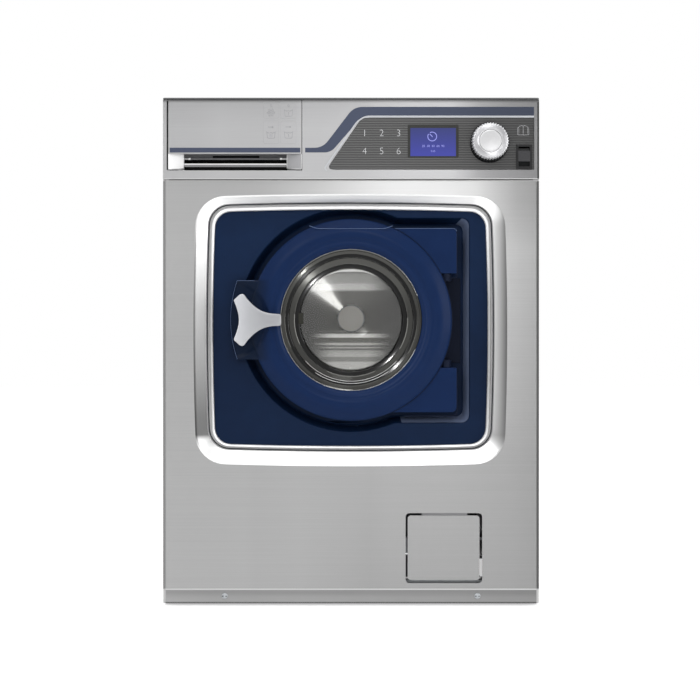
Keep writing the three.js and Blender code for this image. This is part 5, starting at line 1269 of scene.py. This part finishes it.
r, y, share = np.array(knob["profile"]).T
body = lobedPart(r, y, r * share * knob["bite"] / knob["radius"], 480)
knobSteel = ringBrushed("Turned knob", "b4b4b6", 0.33, 0, knobAxis)
makePiece("selectorKnob", body, knobSteel, "knob", 40, ["selector_knob"])
makePiece("knobLip", turned(knob["lip"], knobAxis, 96), pearl, "knob", 40)
r, y = np.array(knob["skirt"]).T
skirt = lobedPart(r, y, knob["skirtBite"] * (r > knob["radius"]), 240)
makePiece("knobSkirt", skirt, blackPlastic, "knob", 40)
makePiece("startButton", turned(knob["button"], knobAxis, 96), pearl, "start", 50, ["start_button"])
# painted shadow: a dark ring on the inlay round the knob, its centre moved down and to the left
shadeAxis = (knob["x"] + knob["shadeMove"][0], knob["z"] + knob["shadeMove"][1])
makePiece("knobShade", turned(knob["shade"], shadeAxis, 96), darkGapAndShadow, "cabinet", 30)

# the mains rocker: x, y and z from and to, finish, width of its soft edges; the foot is painted shade under
# the cap and the line a painted highlight along the foot's lower edge
rocker = {
    "rockerCap": ((263.9, 283.2, -5.0, -3.2, 703, 720.2), rockerGrey, 0.8),
    "rockerEars": ((263.4, 283.7, -4.2, -3.2, 709.4, 713.6), blackPlastic, 0.3),
    "rockerFoot": ((263.6, 283.4, -3.5, -3.3, 693.2, 702.9), darkGapAndShadow, 0),
    "rockerLine": ((264, 283, -3.75, -3.55, 693.3, 694.1), greyPlastic, 0),
}
for name, (size, finish, edge) in rocker.items():
    made = makePiece(name, block(*size), finish, bodyOfNode["power_rocker"], 30)
    if edge:
        softEdges(made, edge)
print("fascia made")


# Drawer front: band, pictograms and grip

outline = rectangle(*band["drawer"], band["drawerCorner"])
plate = flatPlate([outline], fasciaFace - band["proud"], fasciaFace + band["sunk"])
makePiece("drawerBand", plate, navyBand, "drawer", 30)

symbols = {
    "xs": (-126.6, -98.9), "high": 780.2, "low": 745.4, "highMark": 791.4, "lowMark": 757.6,
    "frameXs": ((-138.5, -114.3), (-111.6, -86.7)), "frameZs": ((731.6, 767), (771.2, 796.8)),
}


def linePart(path, radius=0.3, closed=False):
    # a thin tube along a line of x and z on the drawer's face
    path = np.asarray(path, float)
    return tube(np.c_[path[:, 0], np.full(len(path), fasciaFace - 0.03), path[:, 1]], radius, 6, closed)


def tubSymbol(x, z, bars):
    # a wash tub in outline with a wavy water line and a few bars in it
    a = np.linspace(0, 1, 25)
    wave = np.stack([x - 5.9 + 11.8 * a, z + 3.1 + 0.6 * np.sin(a * 2.5 * turn)], -1)
    corners = [(x - 6.7, z + 5.5), (x - 5.5, z - 5.5), (x + 5.5, z - 5.5), (x + 6.7, z + 5.5)]
    made = [linePart(wave), linePart(rounded(corners, [0, 1.2, 1.2, 0], 4, closed=False))]
    for bar in range(bars):
        bx = x + (bar - (bars - 1) / 2) * 2.8
        made.append(linePart([(bx, z - 3.4), (bx, z + 0.9)], 0.36))
    return made


def flowerSymbol(x, z):
    # six petals, a circle whose radius ripples with the cosine of six times the angle, round a small circle
    a = np.linspace(0, turn, 60, endpoint=False)
    r = 4.4 + 1.7 * np.cos(a * 6)
    petals = np.stack([x + r * np.cos(a), z + r * np.sin(a)], -1)
    middle = np.stack([x + 1.5 * np.cos(a[::4]), z + 1.5 * np.sin(a[::4])], -1)
    return [linePart(petals, 0.3, True), linePart(middle, 0.28, True)]


def dropMark(x, z):
    # a drop: a triangle with a sharp top and round lower corners
    corners = [(x, z + 2.6), (x - 1.9, z - 1.6), (x + 1.9, z - 1.6)]
    return [linePart(rounded(corners, [0.6, 1.8, 1.8], 4), 0.28, True)]


def arrowMark(x, z):
    # a level line that ends in an arrow's head
    head = [(x + 1.4, z + 1.4), (x + 4.2, z), (x + 1.4, z - 1.4)]
    return [linePart([(x - 4.6, z), (x + 3.4, z)], 0.34), linePart(head, 0.3)]


left, right = symbols["xs"]
high, low = symbols["high"], symbols["low"]
parts = flowerSymbol(left, high) + tubSymbol(right, high, 1)
parts += tubSymbol(left, low, 2) + tubSymbol(right, low, 1)
for mark, z in ((dropMark, symbols["highMark"]), (arrowMark, symbols["lowMark"])):
    parts += mark(left, z) + mark(right, z)
makePiece("drawerSymbols", joinParts(parts), greyInk, "drawer", 60)
parts = [
    linePart(rectangle(*xs, *zs, 2.6, 5), 0.2, True) for xs in symbols["frameXs"] for zs in symbols["frameZs"]
]
makePiece("symbolFrames", joinParts(parts), faintInk, "drawer", 60)

grip = {
    "left": -289.0, "right": -78.0, "cheekIn": 23.6, "low": 690.8, "lowIn": 693.0, "high": 715.2,
    "front": -2.6, "skin": (-0.25, 0.1), "turnIn": 0.2, "deep": 8.0, "back": 17.7,
    "line": [(-78.3, -3.1, 714.8), (-78.3, -3.1, 691.2), (-101.5, 7.6, 693.2), (-101.5, 7.6, 714.8)],
}


def cheekPart(edge, side):
    # a slanted wall from the drawer's face inwards, its lower edge rising, that turns straight back inside
    across = edge + side * grip["cheekIn"]
    path = [(edge, grip["front"], grip["low"]), (across, grip["deep"], grip["lowIn"]),
            (across + side * grip["turnIn"], grip["back"], grip["lowIn"])]
    points = [(x, y + t, z) for x, y, low in path for z in (low, grip["high"]) for t in grip["skin"]]
    faces = [[0, 1, 3, 2], [8, 10, 11, 9]]
    for a, b in ((0, 4), (4, 8)):
        faces += [[a, a + 2, b + 2, b], [a + 1, b + 1, b + 3, a + 3]]
        faces += [[a, b, b + 1, a + 1], [a + 2, a + 3, b + 3, b + 2]]
    return points, faces


# one cheek part in painted light and shade: white on the left, grey on the right, and a painted highlight
# along the right cheek's edges
makePiece("gripCheekLeft", cheekPart(grip["left"], 1), whitePlastic, "drawer", 30)
makePiece("gripCheekRight", cheekPart(grip["right"], -1), cheekShade, "drawer", 30)
makePiece("gripCheekLine", tube(grip["line"], 0.45, 8), whitePlastic, "drawer", 60)
# what shows inside the grip, in painted light and shade: the back and the rail darkened grey, the bar's face
# grey under a white top edge; x, y and z from and to
grips = {
    "gripBack": ((-264.8, -102.2, 18.3, 18.8, 709.9, 715.2), gripShadeGrey, "charcoal"),
    "gripSlot": ((-220, -146, 18.0, 18.2, 709.9, 713.8), darkGapAndShadow, "black"),
    "gripBar": ((-264.6, -102.4, 8.6, 8.9, 695.3, 698.7), barShadeGrey, "white_plastic"),
    "gripBarHighlight": ((-264.6, -102.4, 8.5, 8.9, 698.7, 700.7), whitePlastic, "white_plastic"),
    "gripRail": ((-256, -111, 12.7, 12.95, 707.1, 709.7), gripShadeGrey, "charcoal"),
    "gripStopLeft": ((-258, -255, 12.6, 12.95, 707.1, 710), whitePlastic, "white_plastic"),
    "gripStopRight": ((-113, -109.5, 12.6, 12.95, 707.1, 710), whitePlastic, "white_plastic"),
}
for name, (size, finish, slotName) in grips.items():
    makePiece(name, block(*size), finish, "drawer", 30)
print("drawer made")


# Back: service cover, screws and vents

rear = {
    "face": 610, "ventCount": 7, "ventStep": 12, "ventLow": 610, "ventTall": 4.5, "vent": (60, 180),
    "ventCorner": 2.2,
    "cover": (-205, 205, 150, 560), "coverCorner": 30, "coverThick": 1.6, "coverEdge": 0.6,
    "screws": [(-190, 165), (190, 165), (-190, 545), (190, 545), (0, 160), (0, 550), (-280, 30), (280, 30),
               (-280, 780), (280, 780), (-280, 400), (280, 400)],
    "screw": [(0.01, 610), (4.4, 610), (4.4, 612.2), (3.2, 613.2), (0.01, 613.4)],
}
heights = rear["ventLow"] + rear["ventStep"] * np.arange(rear["ventCount"])
parts = [
    flatPlate([rectangle(*rear["vent"], z, z + rear["ventTall"], rear["ventCorner"])],
              rear["face"] - 0.05, rear["face"] + 0.25) for z in heights
]
makePiece("rearVents", joinParts(parts), darkGapAndShadow, "cabinet", 30)
outline = rectangle(*rear["cover"], rear["coverCorner"], 8)
cover = flatPlate([outline], rear["face"], rear["face"] + rear["coverThick"], rear["coverEdge"])
makePiece("rearCover", cover, zinc, "cabinet", 40)
parts = [turned(rear["screw"], place, 20) for place in rear["screws"]]
makePiece("rearScrews", joinParts(parts), zinc, "cabinet", 50)
print("back made")


# Floor, light and camera

def stageFloor(half, glow):
    # a flat square that looks white to the camera and in reflections, and plain grey white to the lamps
    mesh = bpy.data.meshes.new("floor")
    corners = [(-half, -half, 0), (half, -half, 0), (half, half, 0), (-half, half, 0)]
    mesh.from_pydata(corners, [], [(0, 1, 2, 3)])
    obj = bpy.data.objects.new("floor", mesh)
    bpy.context.collection.objects.link(obj)
    finish = newFinish("Pale floor", "f2f2f2", 0.0, 0.9, 0.0)
    rays = addNode(finish, "LightPath").outputs
    seen = addNode(finish, "Math", {0: rays["Is Camera Ray"], 1: rays["Is Glossy Ray"]}, operation="MAXIMUM")
    lift = addNode(finish, "Math", {0: seen.outputs["Value"], 1: glow}, operation="MULTIPLY")
    feed(finish, {"Emission Color": (1, 1, 1, 1), "Emission Strength": lift.outputs["Value"]})
    mesh.materials.append(finish)


def studioWorld(ambient):
    # white where the camera, a reflection or the glass looks out, and dimmer where it lights the part
    world = bpy.data.worlds.new("studio")
    world.use_nodes = True
    bpy.context.scene.world = world
    sky = world.node_tree.nodes["Background"]
    fill(world, sky, {"Color": (1, 1, 1, 1), "Strength": ambient})
    white = addNode(world, "Background", {"Color": (1, 1, 1, 1), "Strength": 1})
    rays = addNode(world, "LightPath").outputs
    shiny = addNode(
        world, "Math", {0: rays["Is Glossy Ray"], 1: rays["Is Transmission Ray"]}, operation="MAXIMUM",
    )
    seen = addNode(world, "Math", {0: rays["Is Camera Ray"], 1: shiny.outputs["Value"]}, operation="MAXIMUM")
    pick = addNode(world, "MixShader", {
        "Fac": seen.outputs["Value"], 1: sky.outputs["Background"], 2: white.outputs["Background"],
    })
    fill(world, world.node_tree.nodes["World Output"], {"Surface": pick.outputs["Shader"]})


def standing(light, at, to):
    # an object for the lamp at one place, turned so that it shines at another
    obj = bpy.data.objects.new(light.name, light)
    obj.location = at
    obj.rotation_euler = (Vector(to) - Vector(at)).to_track_quat("-Z", "Y").to_euler()
    bpy.context.collection.objects.link(obj)


stageFloor(8, 0.55)
studioWorld(0.55)
lamps = {
    "leftBox": {"at": (-2.6, -0.5, 1.1), "to": (0, -0.3, 0.45), "size": (1.2, 1.6), "power": 22},
    "frontBox": {"at": (-1.5, -3.2, 2.4), "to": (0, -0.2, 0.45), "size": (1.2, 1.2), "power": 20},
    "rightBox": {"at": (2.5, -1.3, 0.9), "to": (0, -0.3, 0.5), "size": (1.9, 1.5), "power": 34},
    "sheen": {"at": (0.27, -3.7, 2.1), "to": (0.1, -0.3, 0.7), "size": (0.56, 0.5), "power": 15},
    "top": {"at": (0, -0.8, 3.0), "to": (0, -0.3, 0.4), "size": (2.4, 2.2), "power": 42},
}
for name, lamp in lamps.items():
    light = bpy.data.lights.new(name, "AREA")
    light.shape = "RECTANGLE"
    light.size, light.size_y = lamp["size"]
    light.energy = lamp["power"]
    standing(light, lamp["at"], lamp["to"])

# a narrow lamp that draws the cone of light behind the window
windowSpot = {
    "at": (0.273, -3.4, 0.16), "to": (0, -0.2, 0.4526), "power": 72, "degrees": 4.6,
    "blend": 0.4, "size": 0.01,
}
light = bpy.data.lights.new("windowSpot", "SPOT")
light.energy = windowSpot["power"]
light.spot_size = math.radians(windowSpot["degrees"])
light.spot_blend = windowSpot["blend"]
light.shadow_soft_size = windowSpot["size"]
standing(light, windowSpot["at"], windowSpot["to"])

view = {"distance": 3.0, "height": 0.47, "frameWidth": 1.1077, "shift": -0.05865, "x": -0.0016, "sensor": 36}
camera = bpy.data.cameras.new("camera")
camera.sensor_width = view["sensor"]
camera.lens = view["sensor"] * view["distance"] / view["frameWidth"]
camera.shift_y = view["shift"]
camera.clip_end = 50
eye = bpy.data.objects.new("camera", camera)
eye.location = (view["x"], frontFace - view["distance"], view["height"])
eye.rotation_euler = (math.pi / 2, 0, 0)
bpy.context.collection.objects.link(eye)
bpy.context.scene.camera = eye

print("scene made")
